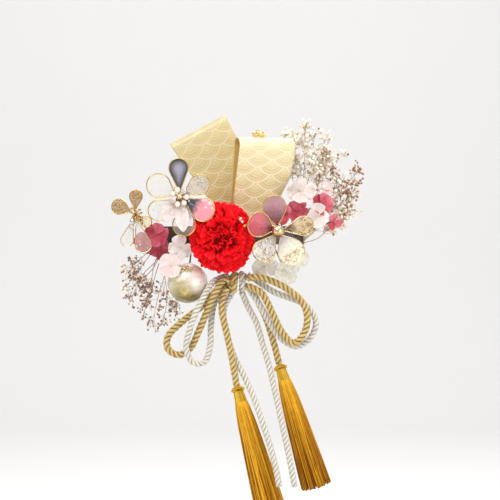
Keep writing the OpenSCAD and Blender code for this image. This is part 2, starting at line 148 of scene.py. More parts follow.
class Form:
    """Points, faces and materials gathered into one mesh. Each point has a plan (three numbers that a
    material reads as its own coordinates) and a tint from 0 to 1."""

    def __init__(self):
        self.points, self.plans, self.tints, self.faces, self.slots = [], [], [], [], []
        self.count = 0

    def add(self, points, faces, plan=None, tint=0.5, slot=0):
        points = np.asarray(points, float).reshape(-1, 3)
        n = len(points)
        plan = np.zeros((n, 3)) if plan is None else np.asarray(plan, float).reshape(n, 3)
        self.points.append(points)
        self.plans.append(plan)
        self.tints.append(np.broadcast_to(np.asarray(tint, float), n))
        self.faces.append(np.asarray(faces, np.int64) + self.count)
        self.slots.append(np.full(len(faces), slot))
        self.count += n

    def add_rings(self, points, plan=None, tint=0.5, slot=0, flip=False, caps=(0, 1)):
        """Rings of points, rows by columns, as a skin with flat caps on its first and last ring."""
        rows, cols = points.shape[:2]
        faces = grid_faces(rows, cols, True)
        ends = np.array([np.arange(cols)[::-1], np.arange(cols) + (rows - 1) * cols]) + self.count
        if flip:
            faces, ends = faces[:, ::-1], ends[:, ::-1]
        self.add(points, faces, plan, tint, slot)
        self.faces.append(ends[list(caps)])
        self.slots.append(np.full(len(caps), slot))

    def make(self, name, materials, smooth=True):
        points = np.concatenate(self.points) * MM
        sizes = np.concatenate([np.full(len(f), f.shape[1]) for f in self.faces])
        corners = np.concatenate([f.ravel() for f in self.faces])
        mesh = bpy.data.meshes.new(name)
        mesh.vertices.add(len(points))
        mesh.vertices.foreach_set("co", points.astype(np.float32).ravel())
        mesh.loops.add(len(corners))
        mesh.loops.foreach_set("vertex_index", corners.astype(np.int32))
        mesh.polygons.add(len(sizes))
        mesh.polygons.foreach_set("loop_start", (np.cumsum(sizes) - sizes).astype(np.int32))
        mesh.polygons.foreach_set("material_index", np.concatenate(self.slots).astype(np.int32))
        mesh.polygons.foreach_set("use_smooth", np.full(len(sizes), smooth))
        plan = mesh.attributes.new("plan", "FLOAT_VECTOR", "POINT")
        plan.data.foreach_set("vector", np.concatenate(self.plans).astype(np.float32).ravel())
        tint = mesh.attributes.new("tint", "FLOAT", "POINT")
        tint.data.foreach_set("value", np.concatenate(self.tints).astype(np.float32))
        mesh.update(calc_edges=True)
        mesh.validate()
        for material in materials:
            mesh.materials.append(material)
        obj = bpy.data.objects.new(name, mesh)
        bpy.context.collection.objects.link(obj)
        return obj


def piece(form, name, materials, replaces=(), smooth=True):
    obj = form.make(name, materials, smooth)
    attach(obj, BODY)
    if replaces:
        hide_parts(*replaces)
    return obj


def ring_plan(path, turn):
    """The plan of rings round a path: cosine and sine of the turn, and the length along the path."""
    return joined(np.cos(turn), np.sin(turn), lengths_along(path)[:, None])


def add_tube(form, path, radius, sides=8, slot=0, tint=0.5):
    """A round tube with domed ends along a path; radius is one number or one for each point."""
    path = np.asarray(path, float)
    radius = np.broadcast_to(np.asarray(radius, float), len(path))
    tangent, side, up = carried_frames(path)
    dome = 0.5 * radius
    path = np.vstack([path[0] - tangent[0] * dome[0], path, path[-1] + tangent[-1] * dome[-1]])
    radius = np.concatenate([[radius[0] * 0.35], radius, [radius[-1] * 0.35]])
    side, up = [np.vstack([v[0], v, v[-1]]) for v in (side, up)]
    turn = np.arange(sides) * 2 * np.pi / sides
    ring = np.cos(turn)[None, :, None] * side[:, None] + np.sin(turn)[None, :, None] * up[:, None]
    points = path[:, None] + radius[:, None, None] * ring
    form.add_rings(points, ring_plan(path, turn), np.repeat(tint, sides) if np.ndim(tint) else tint, slot)


def add_shell(form, points, plan, thickness, slot=0, tint=0.5, back_plan=None):
    """A closed thin shell from a grid of points (rows, cols, 3): both faces and the rim."""
    rows, cols = points.shape[:2]
    normal = unit(np.cross(np.gradient(points, axis=1), np.gradient(points, axis=0)))
    both = np.stack([points + normal * thickness / 2, points - normal * thickness / 2])
    plans = np.stack([plan, plan if back_plan is None else back_plan])
    faces = grid_faces(rows, cols)
    n = rows * cols
    rim = np.concatenate([
        np.arange(cols), np.arange(1, rows) * cols + cols - 1,
        (rows - 1) * cols + np.arange(cols - 2, -1, -1), np.arange(rows - 2, 0, -1) * cols,
    ])
    nxt = np.roll(rim, -1)
    edge = np.stack([nxt, rim, rim + n, nxt + n], -1)
    tint = np.tile(tint, 2) if np.ndim(tint) else tint
    form.add(both, np.concatenate([faces, faces[:, ::-1] + n, edge]), plans, tint, slot)


def ball_points(rows, cols):
    """Directions over a ball, as rows by cols, poles drawn in to small rings."""
    polar = np.linspace(0.02, np.pi - 0.02, rows)[:, None]
    turn = np.arange(cols) * 2 * np.pi / cols
    return joined(np.sin(polar) * np.cos(turn), np.sin(polar) * np.sin(turn), np.cos(polar))


def add_ball(form, at, radius, rows=10, cols=14, slot=0, tint=0.5, shape=(1, 1, 1), bumps=0.0, seed=0):
    """A ball, or with bumps a lumpy bud, with closed poles."""
    d = ball_points(rows, cols)
    r = np.full(d.shape[:2], float(radius))
    if bumps:
        waves = np.sin(5 * d + np.random.default_rng(seed).uniform(0, 6.28, 3))
        r = r * (1 + bumps * waves[..., 0] * waves[..., 1] * waves[..., 2] * 2)
    points = np.asarray(at) + d * r[..., None] * np.asarray(shape)
    form.add_rings(points, d, tint, slot, flip=True)


def noise_at(points, scale, seed=0.0):
    """Smooth noise from -1 to 1 at each point."""
    flat = np.asarray(points).reshape(-1, 3) * scale
    values = [noise.noise(Vector((p[0] + seed, p[1] - seed, p[2] + 2 * seed))) for p in flat]
    return np.array(values).reshape(np.asarray(points).shape[:-1])


# Materials

def linear(color):
    """A color as #RRGGBB in Blender's linear numbers."""
    parts = [int(color[i:i + 2], 16) / 255 for i in (1, 3, 5)]
    return tuple(c / 12.92 if c <= 0.04045 else ((c + 0.055) / 1.055) ** 2.4 for c in parts)


class Value:
    """A node's output. A sign between values, or between a value and a number, adds a math node."""

    def __init__(self, look, socket):
        self.look = look
        self.socket = socket

    def __add__(self, other):
        return self.look.math("ADD", self, other)

    def __sub__(self, other):
        return self.look.math("SUBTRACT", self, other)

    def __mul__(self, other):
        return self.look.math("MULTIPLY", self, other)

    def __truediv__(self, other):
        return self.look.math("DIVIDE", self, other)


class Look:
    """A node material on one Principled shader, with short ways to add nodes."""

    def __init__(self, name, **sockets):
        self.material = bpy.data.materials.new(name)
        self.material.use_nodes = True
        self.tree = self.material.node_tree
        self.shader = self.tree.nodes["Principled BSDF"]
        for key, value in sockets.items():
            self.shader.inputs[key.replace("_", " ")].default_value = value

    def node(self, kind, inputs=(), output=0, **settings):
        """Adds a node, its inputs linked to values or set to numbers, and gives one of its outputs."""
        node = self.tree.nodes.new(kind)
        for key, value in settings.items():
            setattr(node, key, value)
        for key, value in dict(inputs).items():
            if isinstance(value, Value):
                self.tree.links.new(value.socket, node.inputs[key])
            else:
                node.inputs[key].default_value = value
        return Value(self, node.outputs[output])

    def math(self, operation, a, b=0.0):
        return self.node("ShaderNodeMath", {0: a, 1: b}, operation=operation)

    def plan(self):
        """The three plan numbers of a point."""
        vector = self.node("ShaderNodeAttribute", output="Vector", attribute_name="plan")
        split = self.node("ShaderNodeSeparateXYZ", {0: vector}).socket.node
        return [Value(self, socket) for socket in split.outputs]

    def tint(self):
        return self.node("ShaderNodeAttribute", output="Fac", attribute_name="tint")

    def facing(self, blend):
        """From 0 where the surface faces the eye to 1 where it is seen at a grazing angle."""
        return self.node("ShaderNodeLayerWeight", {"Blend": blend}, "Facing")

    def noise(self, scale, detail=3.0, rough=0.55, stretch=None):
        """Noise over the object's own coordinates; scale counts per metre."""
        where = self.node("ShaderNodeTexCoord", output="Object")
        if stretch:
            where = self.node("ShaderNodeMapping", {"Vector": where, "Scale": stretch})
        settings = {"Vector": where, "Scale": scale, "Detail": detail, "Roughness": rough}
        return self.node("ShaderNodeTexNoise", settings, "Fac")

    def ramp(self, fac, *stops):
        """A ramp of colors, each stop a place and a color."""
        color = self.node("ShaderNodeValToRGB", {0: fac}, "Color")
        elements = color.socket.node.color_ramp.elements
        while len(elements) < len(stops):
            elements.new(0.5)
        for element, (place, code) in zip(elements, stops):
            element.position = place
            element.color = (*linear(code), 1)
        return color

    def mix(self, fac, a, b, blend="MIX"):
        a, b = [c if isinstance(c, Value) else (*linear(c), 1) for c in (a, b)]
        return self.node("ShaderNodeMix", {0: fac, 6: a, 7: b}, 2, data_type="RGBA", blend_type=blend)

    def span(self, value, low, high, to_low=0.0, to_high=1.0):
        return self.node("ShaderNodeMapRange", {0: value, 1: low, 2: high, 3: to_low, 4: to_high})

    def set(self, name, value):
        self.tree.links.new(value.socket, self.shader.inputs[name])

    def paint(self, color):
        self.set("Base Color", color)

    def finish(self, height, strength, distance):
        """Adds the bump, its distance in millimetres, and gives the finished material."""
        self.set("Normal", self.node("ShaderNodeBump", {
            "Height": height, "Strength": strength, "Distance": distance * MM,
        }))
        return self.material

    def waves(self, value):
        """A smooth wave from 0 to 1 for each whole step of value."""
        return self.math("SINE", value * (2 * math.pi)) * 0.5 + 0.5


def cord_look(name, low, mid, high):
    """Satin yarn: fine threads that run round each strand, with painted shade between the threads and,
    through the strands' tint, in the grooves between strands.
    """
    look = Look(name, Roughness=0.42, Sheen_Weight=0.25, Sheen_Roughness=0.4, Specular_IOR_Level=0.45)
    x, y, along = look.plan()
    turn = look.math("ARCTAN2", y, x) / (2 * math.pi)
    line = look.waves(turn * 9.0 + along * -0.55)
    tone = look.tint() * 0.8 + look.noise(450.0, 4.0) * 0.25
    color = look.ramp(tone, (0.12, low), (0.55, mid), (0.95, high))
    # Painted shade: the colour is darkened between the fine threads
    dark = look.span(line, 0.0, 0.5, 0.72, 1.0)
    shade = look.node("ShaderNodeCombineColor", {0: dark, 1: dark, 2: dark})
    look.paint(look.mix(1.0, color, shade, "MULTIPLY"))
    return look.finish(line, 0.55, 0.12)


SCALE_W = 22.0
SCALE_ROW = 6.0
SCALE_RINGS = 5.0
WARP_PER_MM = 2.2
WEFT_PER_MM = 2.6


def brocade_look(name, shade):
    """Brocade with the traditional wave scales: rows of nested arcs that hang like fish scales."""
    look = Look(name, Roughness=0.34, Sheen_Weight=0.3, Sheen_Roughness=0.4, Specular_IOR_Level=0.75)
    u, v, side = look.plan()
    radius = SCALE_W / 2
    top_row = look.math("FLOOR", (v + radius) / SCALE_ROW)
    found, ring = 1.0, 0.0
    # Of the four rows whose scales reach a point, the first that covers it gives its ring
    for step in range(4):
        row = top_row - step
        odd = look.math("FLOORED_MODULO", row, 2.0) * 0.5
        across = (look.math("FRACT", u / SCALE_W + odd) - 0.5) * SCALE_W
        up = row * SCALE_ROW - v
        share = look.math("SQRT", across * across + up * up) / radius
        hit = look.math("LESS_THAN", share, 1.0) * found
        ring = share * hit + ring
        found = look.math("SUBTRACT", found, hit)
    line = look.math("GREATER_THAN", look.math("FRACT", ring * SCALE_RINGS), 0.72)
    rim = look.math("GREATER_THAN", ring, 0.93)
    number = look.math("FLOOR", ring * SCALE_RINGS) / SCALE_RINGS
    weave = look.waves(u * WARP_PER_MM)
    weft = look.waves(v * WEFT_PER_MM)
    gold = look.ramp(number + look.noise(60.0) * 0.25,
                     (0.1, "#EEE2B0"), (0.45, "#E6D69C"), (0.8, "#DDC98A"), (1.0, "#E8D8A6"))
    color = look.mix(line * 0.55, gold, "#F6EED0")
    color = look.mix(rim, color, "#FEF8DE")
    # Paler towards the fold, where the band turns to the light
    color = look.mix(look.span(v, 25.0, 75.0, 0.0, 0.45), color, "#FFF4D2")
    lining = look.ramp(weave, (0.0, "#D2AE64"), (1.0, "#F0D890"))
    color = look.mix(side, color, lining)
    # Painted shade: the whole band is multiplied by its shade colour, which darkens the left loop
    look.paint(look.mix(1.0, color, shade, "MULTIPLY"))
    return look.finish((line + rim) * 0.8 + (weave + weft) * 0.22, 0.4, 0.15)


def metal_look(name, low, high, rough=0.3, bumps=0.5, scale=1400.0):
    look = Look(name, Metallic=1.0)
    grain = look.noise(scale, 4.0)
    look.paint(look.mix(grain, low, high))
    look.set("Roughness", look.span(grain, 0.3, 0.7, rough * 0.7, rough * 1.3))
    return look.finish(grain, bumps, 0.05)


def bead_look(name):
    """Polished gold with painted shade, browner and darker towards its underside, and a painted highlight,
    paler towards its top.
    """
    look = Look(name, Metallic=1.0, Roughness=0.08)
    height = look.plan()[2]
    # Painted shade and highlight: the tone follows the bead's height, dark brown below and pale above
    tone = look.noise(500.0, 3.0) * 0.3 + (height * 0.45 + 0.3)
    look.paint(look.ramp(tone, (0.04, "#5A3E1E"), (0.2, "#B8925C"), (0.42, "#F0D8A8"), (1.0, "#FBEFD2")))
    return look.material


def lacquer_look(name, low, high):
    """Dark satin lacquer on metal, with a faint orange peel."""
    look = Look(name, Roughness=0.4, Coat_Weight=0.4, Coat_Roughness=0.12)
    grain = look.noise(700.0, 4.0)
    look.paint(look.mix(grain, low, high))
    return look.finish(grain, 0.15, 0.05)


def film_look(name, color, edge, alpha, rough=0.12, mottle=0.3, scale=160.0, span=(0.15, 0.85),
              ring=False):
    """Thin glossy dipped film, denser at grazing angles and in patches. Its color runs to the edge's
    color along the petal, or with ring from its middle outwards, between the two places of span."""
    look = Look(name, Roughness=rough, Coat_Weight=0.6, Coat_Roughness=0.08,
                Specular_IOR_Level=0.6, IOR=1.5)
    patch = look.noise(scale, 5.0, 0.65)
    place = look.plan()[2 if ring else 0]
    look.paint(look.ramp(place * 0.75 + patch * 0.35, (span[0], color), (span[1], edge)))
    dense = look.span(patch, 0.45, 0.75) * mottle + alpha
    look.set("Alpha", look.math("MINIMUM", look.facing(0.35) * 0.5 + dense, 0.96))
    return look.finish(look.noise(scale * 2.5, 3.0), 0.3, 0.15)


def petal_look(name, low, mid, high, rough=0.6, vein=0.35, clear=0.0):
    """Preserved petal: veins off a midrib, paler towards the edge, with soft mottling."""
    look = Look(name, Roughness=rough, Sheen_Weight=0.2, Sheen_Roughness=0.5,
                Subsurface_Weight=0.12, Subsurface_Scale=1.2 * MM)
    across, along, _ = look.plan()
    wide = look.math("ABSOLUTE", across)
    side = look.math("FRACT", (along + wide * -0.55) * 6.0)
    rib = look.span(look.math("ABSOLUTE", side - 0.5), 0.0, 0.16, 1.0, 0.0)
    spine = look.span(wide, 0.0, 0.07, 1.0, 0.0)
    veins = look.math("MAXIMUM", rib * 0.6, spine)
    patch = look.noise(380.0, 5.0)
    color = look.ramp(look.tint() * 0.6 + patch * 0.45, (0.15, low), (0.5, mid), (0.85, high))
    look.paint(look.mix(veins * vein, color, low))
    if clear:
        look.set("Alpha", look.span(patch, 0.3, 0.7, 1.0 - clear, 1.0))
    return look.finish(veins + patch * 0.7, 0.45, 0.2)


def mum_look():
    """Soft red petal with painted shade, darker deep between the petals, with fine fibres along it."""
    look = Look("mum_red", Roughness=0.8, Sheen_Weight=0.05, Sheen_Roughness=0.5,
                Subsurface_Weight=0.08, Subsurface_Scale=1.5 * MM, Specular_IOR_Level=0.1)
    across, _, depth = look.plan()
    patch = look.noise(500.0, 4.0)
    look.paint(look.ramp(depth * 0.85 + patch * 0.2,
                         (0.1, "#A2020A"), (0.35, "#E60812"), (0.7, "#FF121E"), (1.0, "#FF2A34")))
    return look.finish(look.waves(across * 7.0) + patch, 0.35, 0.12)


def thread_look(name, low, mid, high):
    """Rayon floss: satin threads, each with its own tone."""
    look = Look(name, Roughness=0.5, Specular_IOR_Level=0.14)
    patch = look.noise(260.0, 3.0)
    look.paint(look.ramp(look.tint() * 0.85 + patch * 0.2, (0.1, low), (0.5, mid), (0.9, high)))
    return look.finish(patch, 0.25, 0.1)


def plant_look(name, low, high):
    """Dry stems, buds and floral tape, each part with its own tone."""
    look = Look(name, Roughness=0.75, Specular_IOR_Level=0.3)
    patch = look.noise(900.0, 4.0)
    look.paint(look.mix(look.tint() * 0.7 + patch * 0.3, low, high))
    return look.finish(patch, 0.5, 0.2)


def pearl_look(name):
    look = Look(name, Roughness=0.12, Coat_Weight=0.9, Coat_Roughness=0.05, Subsurface_Weight=0.1,
                Subsurface_Scale=1.0 * MM)
    # Painted shade: the colour darkens towards the pearl's rim, where its surface turns away from the eye
    tone = look.facing(0.5) + look.noise(300.0) * 0.2
    look.paint(look.ramp(tone, (0.1, "#F6EBDD"), (0.6, "#E4D0BC"), (1.0, "#A88E78")))
    return look.finish(look.noise(2000.0), 0.1, 0.05)


def foil_look(name):
    """Champagne foil: brushed streaks, with a painted highlight paler towards the upper right and a painted
    olive reflection in patches low in front.
    """
    look = Look(name, Metallic=0.3, Coat_Weight=0.5, Coat_Roughness=0.2)
    x, y, z = look.plan()
    streaks = look.noise(150.0, 6.0, 0.7, (0.5, 1.0, 2.4))
    patch = look.noise(90.0, 5.0, 0.65)
    # Painted highlight: pale towards the upper right, where the light falls
    pale = look.span(x * 0.7 + (z * 0.8 + streaks), 0.1, 1.2)
    # Painted reflection of the surroundings: olive-gold patches low in front
    painted_reflection = look.span(z * -0.55 + (y * -0.3 + patch), 0.62, 1.0)
    gold = look.ramp(streaks, (0.3, "#D2BE84"), (0.5, "#EEE2BE"), (0.72, "#FCF8EA"))
    color = look.mix(painted_reflection, gold, look.ramp(patch, (0.4, "#6A5E28"), (0.6, "#B29C50"), (0.72, "#E8DAA8")))
    look.paint(look.mix(pale, color, "#FBF1EC"))
    look.set("Roughness", look.span(streaks, 0.3, 0.7, 0.22, 0.45))
    return look.finish(streaks, 0.5, 0.4)


GOLD_WIRE = metal_look("gold_wire", "#BC9248", "#F0D08A", 0.22, 0.25, 900.0)
PALE_WIRE = metal_look("pale_wire", "#C8B484", "#F0E4C0", 0.25, 0.25, 900.0)
BEAD_GOLD = bead_look("bead_gold")
BEAD_SILVER = metal_look("bead_silver", "#D0D0D0", "#F0F0F0", 0.1, 0.08, 900.0)
PEARL = pearl_look("pearl")
BALL_FOIL = foil_look("ball_foil")
PIN_LACQUER = lacquer_look("pin_lacquer", "#2A1D18", "#443028")
FLAKE_GOLD = metal_look("flake_gold", "#B98A34", "#F0CF7C")
LEAF_GOLD = metal_look("leaf_gold", "#DDB860", "#FFF2C0", 0.25, 0.4)
FLAKE_COPPER = metal_look("flake_copper", "#9A5A28", "#E8B070")
FLAKE_DARK = metal_look("flake_dark", "#5A3A1E", "#A07840", 0.4)
FLAKE_PALE = metal_look("flake_pale", "#CFC6B4", "#FAF4E6")
TAPE = plant_look("stem_tape", "#4A3A24", "#7A6648")
BUD_CREAM = plant_look("bud_cream", "#E8D8BC", "#FFFCF4")
BUD_BROWN = plant_look("bud_brown", "#6A4636", "#BC9A86")
BUD_COPPER = plant_look("bud_copper", "#7A4A2C", "#C89A70")
STEM_BROWN = plant_look("stem_brown", "#9A7C68", "#D2BCA6")
STEM_PALE = plant_look("stem_pale", "#A08266", "#D6BE9C")
CORD_GOLD = cord_look("cord_gold", "#6E4E12", "#BF9A48", "#EED9A0")
CORD_WHITE = cord_look("cord_white", "#989080", "#DDD6C6", "#FBF8F0")
TASSEL_FLOSS = thread_look("tassel_floss", "#6A3400", "#A4660A", "#EEB62E")
TASSEL_NECK = thread_look("tassel_neck", "#84580A", "#C0921E", "#F2CC54")
MUM_RED = mum_look()
CRYSTAL = film_look("crystal", "#D8C8C0", "#F6EEE6", 0.62, 0.03, 0.2, 500.0)
BUBBLE = film_look("film_bubble", "#E8E6E2", "#F6F4EE", 0.35, 0.05, 0.1)
CLEAR = film_look("film_clear", "#CFC8BC", "#E8E2D4", 0.14, 0.08, 0.1)
# Painted reflection: the lavender-grey film darkens to near black towards its rim, a painted dark
# reflection
SMOKY_DARK_REFLECTION = film_look("film_smoky_dark_reflection", "#A29CAA", "#1C1A1E", 0.86, 0.2, 0.1, 90.0, (0.36, 0.86), True)
PEARLY = film_look("film_pearl", "#7C7268", "#DCD0BE", 0.6, 0.1, 0.35, 260.0, (0.1, 0.5))
PINK = film_look("film_pink", "#3A4048", "#F49AA4", 0.88, 0.28, 0.1, 70.0, (0.53, 0.63))
ROSE = film_look("film_rose", "#340A10", "#CC4858", 0.78, 0.1, 0.2, 140.0, (0.34, 0.62))
MAUVE = film_look("film_mauve", "#4A1018", "#BC929C", 0.56, 0.1, 0.2, 120.0, (0.36, 0.72))
FROST = film_look("film_frost", "#C8C4C0", "#F6F2EC", 0.5, 0.15, 0.4, 240.0)
CREAM = film_look("film_cream", "#CFC2CC", "#FBF6DE", 0.72, 0.15, 0.25, 120.0, (0.3, 0.6))
AMBER = film_look("film_amber", "#4A180E", "#EEDCB0", 0.78, 0.12, 0.2, 160.0, (0.4, 0.64))
HONEY = film_look("film_honey", "#94692E", "#CDA564", 0.5, 0.12, 0.3, 200.0)
HYDRANGEA_RED = petal_look("hydrangea_red", "#8A1830", "#B02E46", "#D46A7C")
# Painted light: a brighter copy of the red, for the right florets that lie in the ribbon's shadow
HYDRANGEA_LIT_ROSE = petal_look("hydrangea_lit_rose", "#A02440", "#C84658", "#E88C98")
# Painted light: the left white floret brightened, as it lies in shade
HYDRANGEA_LIT_WHITE = petal_look("hydrangea_white", "#EEDFDA", "#FBF2EE", "#FFFCFA", vein=0.25)
HYDRANGEA_BLUSH = petal_look("hydrangea_blush", "#D2B4AE", "#EBD6D1", "#F8EAE6", vein=0.25)
# Painted shade: a darker, slightly pinker copy of the white for the right florets, which face the top light
HYDRANGEA_SHADED_CREAM = petal_look("hydrangea_shaded_cream", "#C4AEA6", "#E2D2CB", "#F6ECE7", vein=0.25)
HYDRANGEA_PINK = petal_look("hydrangea_pink", "#E2B8B4", "#F2D6D2", "#FCECEA", vein=0.2)
PALE_LACE = petal_look("pale_lace", "#D8D8C0", "#F4F1E4", "#FEFCF6", vein=0.45, clear=0.3)
MILKY = petal_look("milky", "#C4A49C", "#E0CCC8", "#F4E8E4", 0.2, 0.2, 0.2)


# Cords: the routes that the part's source sweeps, repeated here

GOLD_D = 5.5
WHITE_D = 5.0
KNOT_GOLD_AT = np.array([-0.5, -21.5, -35.5])
KNOT_GOLD_R = 5.75
KNOT_WHITE_AT = np.array([5.5, -21.5, -34.5])
KNOT_WHITE_R = 5.25
ROUTES = {
    "gold_loop_left": [
        [-4.9, -27, -32.8], [-10, -29, -35.4], [-16, -31.5, -46], [-22, -31.5, -60],
        [-27.5, -30.5, -73], [-33, -28, -84], [-41.5, -26.5, -89.5], [-50, -26, -85],
        [-49.5, -25.5, -75], [-39, -25, -64.5], [-24.5, -24, -53], [-12.5, -20, -40],
        [-5.4, -16.6, -33],
    ],
    "white_loop_left": [
        [-4.5, -21.5, -30.4], [-10, -22, -32], [-17, -28, -36], [-23, -34, -46],
        [-29, -36, -58], [-34, -35.5, -72], [-36, -34, -84], [-31.5, -32, -94.5],
        [-22.5, -28, -94.5], [-18.5, -25, -83], [-18, -22.5, -68], [-16, -18, -53],
        [-10.5, -15, -43.5], [-4.9, -16, -39],
    ],
    "gold_loop_right": [
        [9.6, -26.9, -32.3], [17, -30.8, -31.3], [28, -32.5, -34.5], [40, -32.5, -41],
        [50, -31.5, -50], [53.8, -31, -61], [51.5, -30, -73], [43.5, -29, -80.5],
        [34.5, -29.5, -71.5], [27.5, -31, -57.5], [20, -31, -43.5], [9.8, -27, -38],
    ],
    "white_loop_right": [
        [9.6, -21.5, -29.8], [17, -23.5, -34.5], [29, -25, -42.5], [42, -25, -47.5],
        [54, -25, -53], [60.5, -24.5, -65], [56, -23.5, -77.5], [45.5, -23, -83.5],
        [34, -24, -77], [26, -24.5, -65.5], [19, -25, -53], [10.3, -21.5, -40],
    ],
    "gold_tail_left": [
        [-5.6, -26.5, -39.5], [-9, -25.5, -46], [-9.5, -27, -58], [-6, -26, -74],
        [-2.5, -24, -91], [1.2, -20.5, -113],
    ],
    "white_tail_left": [
        [-3.5, -20, -45.8], [-7.5, -19, -53], [-8.5, -19, -62], [-6.5, -19, -73],
        [-1.5, -18.5, -89], [7.5, -20, -107], [14.5, -23.5, -122.5], [20, -25.5, -138],
        [26, -27, -156.5], [30, -27.5, -171.5], [33, -28, -186.5],
    ],
    "gold_tail_right": [
        [10.6, -16, -38], [16, -13.5, -48], [23, -14.5, -62], [28.5, -15.5, -79],
        [33.2, -16, -97],
    ],
    "white_tail_right": [
        [5, -20.5, -42.8], [9.5, -17, -53.5], [16, -16.5, -66], [21, -18.5, -83],
        [26, -20, -100], [30, -22, -117.5], [34, -24.5, -135], [38, -26, -153.5],
        [41.5, -27.5, -171], [44.3, -28, -186.5],
    ],
}
ROPE_STEP = 0.6
ROPE_PITCH = 2.1
ROPE_SIDES = 10
# Shares of the cord's radius: how far out a strand lies, and half its thickness outwards and across
STRAND_OUT, STRAND_DEEP, STRAND_WIDE = 0.53, 0.46, 0.6
WRAP_STEP = 0.5
# Diameter of the cords inside the knot, as a share of the cord's own
BUNDLE_D = 0.96
CUT_YARNS, YARN_R = 40, 0.16


def add_rope(form, path, d, turn=0.0, seed=1):
    """Three strands twisted round a path; each strand is a tube of oval section."""
    draw = np.random.default_rng(seed)
    radius = d / 2
    tangent, side, up = carried_frames(path)
    ring = np.arange(ROPE_SIDES) * 2 * np.pi / ROPE_SIDES
    for strand in range(3):
        at = 2 * np.pi * lengths_along(path) / (ROPE_PITCH * d) + strand * 2 * np.pi / 3 + turn
        out = np.cos(at)[:, None] * side + np.sin(at)[:, None] * up
        over = np.cross(tangent, out)
        middle = path + STRAND_OUT * radius * out
        oval = (STRAND_DEEP * radius * np.cos(ring)[None, :, None] * out[:, None]
                + STRAND_WIDE * radius * np.sin(ring)[None, :, None] * over[:, None])
        # Painted shade: each strand's tint runs darker on its inner side, in the grooves where the strands
        # meet
        far = 0.5 + 0.5 * np.cos(ring)
        tint = np.clip(0.12 + 0.75 * far + draw.uniform(-0.06, 0.06), 0, 1)
        form.add_rings(middle[:, None] + oval, ring_plan(path, ring), np.tile(tint, len(path)))


def make_cords():
    """Each cord at its real length; the white tails end in cut yarn tips."""
    for number, (name, route) in enumerate(ROUTES.items()):
        gold = name.startswith("gold")
        d = GOLD_D if gold else WHITE_D
        path = smooth_path(route, ROPE_STEP)
        form = Form()
        add_rope(form, path, d, 0.7 * number, number)
        if name.startswith("white_tail"):
            add_cut_end(form, path, d, number)
        obj = piece(form, name + "_cord", [CORD_GOLD if gold else CORD_WHITE],
                    [name])
        d * MM
        "object" if gold or "loop" in name else "bare"


def add_cut_end(form, path, d, seed):
    """The loose yarn tips of a cut cord end."""
    draw = np.random.default_rng(40 + seed)
    ahead = unit(path[-1] - path[-3])
    side = unit(np.cross(ahead, (0, 1, 0)))
    up = np.cross(ahead, side)
    for _ in range(CUT_YARNS):
        angle, far = draw.uniform(0, 2 * np.pi), d * 0.45 * math.sqrt(draw.uniform(0, 1))
        out = math.cos(angle) * side + math.sin(angle) * up
        start = path[-1] - 0.8 * ahead + far * out
        end = start + draw.uniform(1.2, 2.2) * ahead + draw.uniform(-0.1, 0.25) * out
        line = np.array([start, (start + end) / 2 + 0.05 * out, end])
        add_tube(form, line, YARN_R, 4, tint=draw.uniform(0.4, 1))


def add_wrap(form, at, r, d, tilt, seed):
    """One turn of cord round the bundle."""
    turn = np.linspace(0, 2 * np.pi, int(2 * np.pi * r / WRAP_STEP) + 1)
    path = at + joined(tilt * np.sin(turn), -r * np.cos(turn), r * np.sin(turn))
    add_rope(form, path, d, seed=seed)


def add_bundle_cords(form, ends, d):
    """Short stretches of cord from where each one leaves the knot to the knot's middle."""
    for name, end in ends:
        start = np.array(ROUTES[name][end], float)
        knot_at = KNOT_WHITE_AT if "right" in name else KNOT_GOLD_AT
        middle = knot_at + 0.25 * (start - knot_at) * [0, 1, 1]
        line = np.array([lerp(middle, start, t) for t in (0, 0.5, 0.94)])
        add_rope(form, resample(line, ROPE_STEP), d * BUNDLE_D)


TIE_ROUTE = [[-0.5, -10, -22], [-0.5, -3.6, -9], [-0.5, -3.3, -2]]
TIE_WIRE_R = 0.45
TIE_PITCH = 3.2


def make_knot():
    """The knot: a gold and a white wrap round the bundle, and the bundle's own cords inside it."""
    gold = Form()
    add_wrap(gold, KNOT_GOLD_AT, KNOT_GOLD_R, GOLD_D, 0.5, 21)
    # A tie of two twisted wires holds the knot to the bar
    tie = smooth_path([KNOT_GOLD_AT + [0, KNOT_GOLD_R - 1, 0]] + TIE_ROUTE, 0.8)
    for half in (0, np.pi):
        turn = lengths_along(tie) / TIE_PITCH * 2 * np.pi + half
        add_tube(gold, coil_round(tie, TIE_WIRE_R, turn), TIE_WIRE_R, 6, 1)
    add_bundle_cords(gold, [("gold_loop_left", 0), ("gold_loop_left", -1), ("gold_tail_left", 0)], GOLD_D)
    piece(gold, "knot_gold_wrap", [CORD_GOLD, GOLD_WIRE], ["knot_gold"])

    white = Form()
    add_wrap(white, KNOT_WHITE_AT, KNOT_WHITE_R, WHITE_D, -0.4, 22)
    for side in ("right", "left"):
        loop, tail = "white_loop_" + side, "white_tail_" + side
        add_bundle_cords(white, [(loop, 0), (loop, -1), (tail, 0)], WHITE_D)
    piece(white, "knot_white_wrap", [CORD_WHITE], ["knot_white"])


# Tassels: where each one starts, and a point that it hangs towards

TASSELS = {
    "tassel_left": ([1.4, -20.2, -113.5], [26.8, -14, -207.5]),
    "tassel_right": ([33.4, -16, -97.5], [61.8, -14, -190.5]),
}
TASSEL_LEN = 96.0
TASSEL_R = 11.5
TASSEL_STRANDS = 430
TASSEL_LOCKS = 13
COLLAR_AT, COLLAR_R = 0.022, 3.9
COLLAR_STRANDS, COLLAR_COIL_R, COLLAR_STRAND_R = 5, 0.75, 0.62
NECK_THREADS, NECK_THREAD_R = 64, 0.26
FLOSS_R = 0.34
NECK_SIDES = 60
CORE_SIDES, CORE_SHARE = 24, 0.72
# Shares of the length where the neck and the skirt begin
NECK_FROM, SKIRT_FROM = 0.03, 0.12
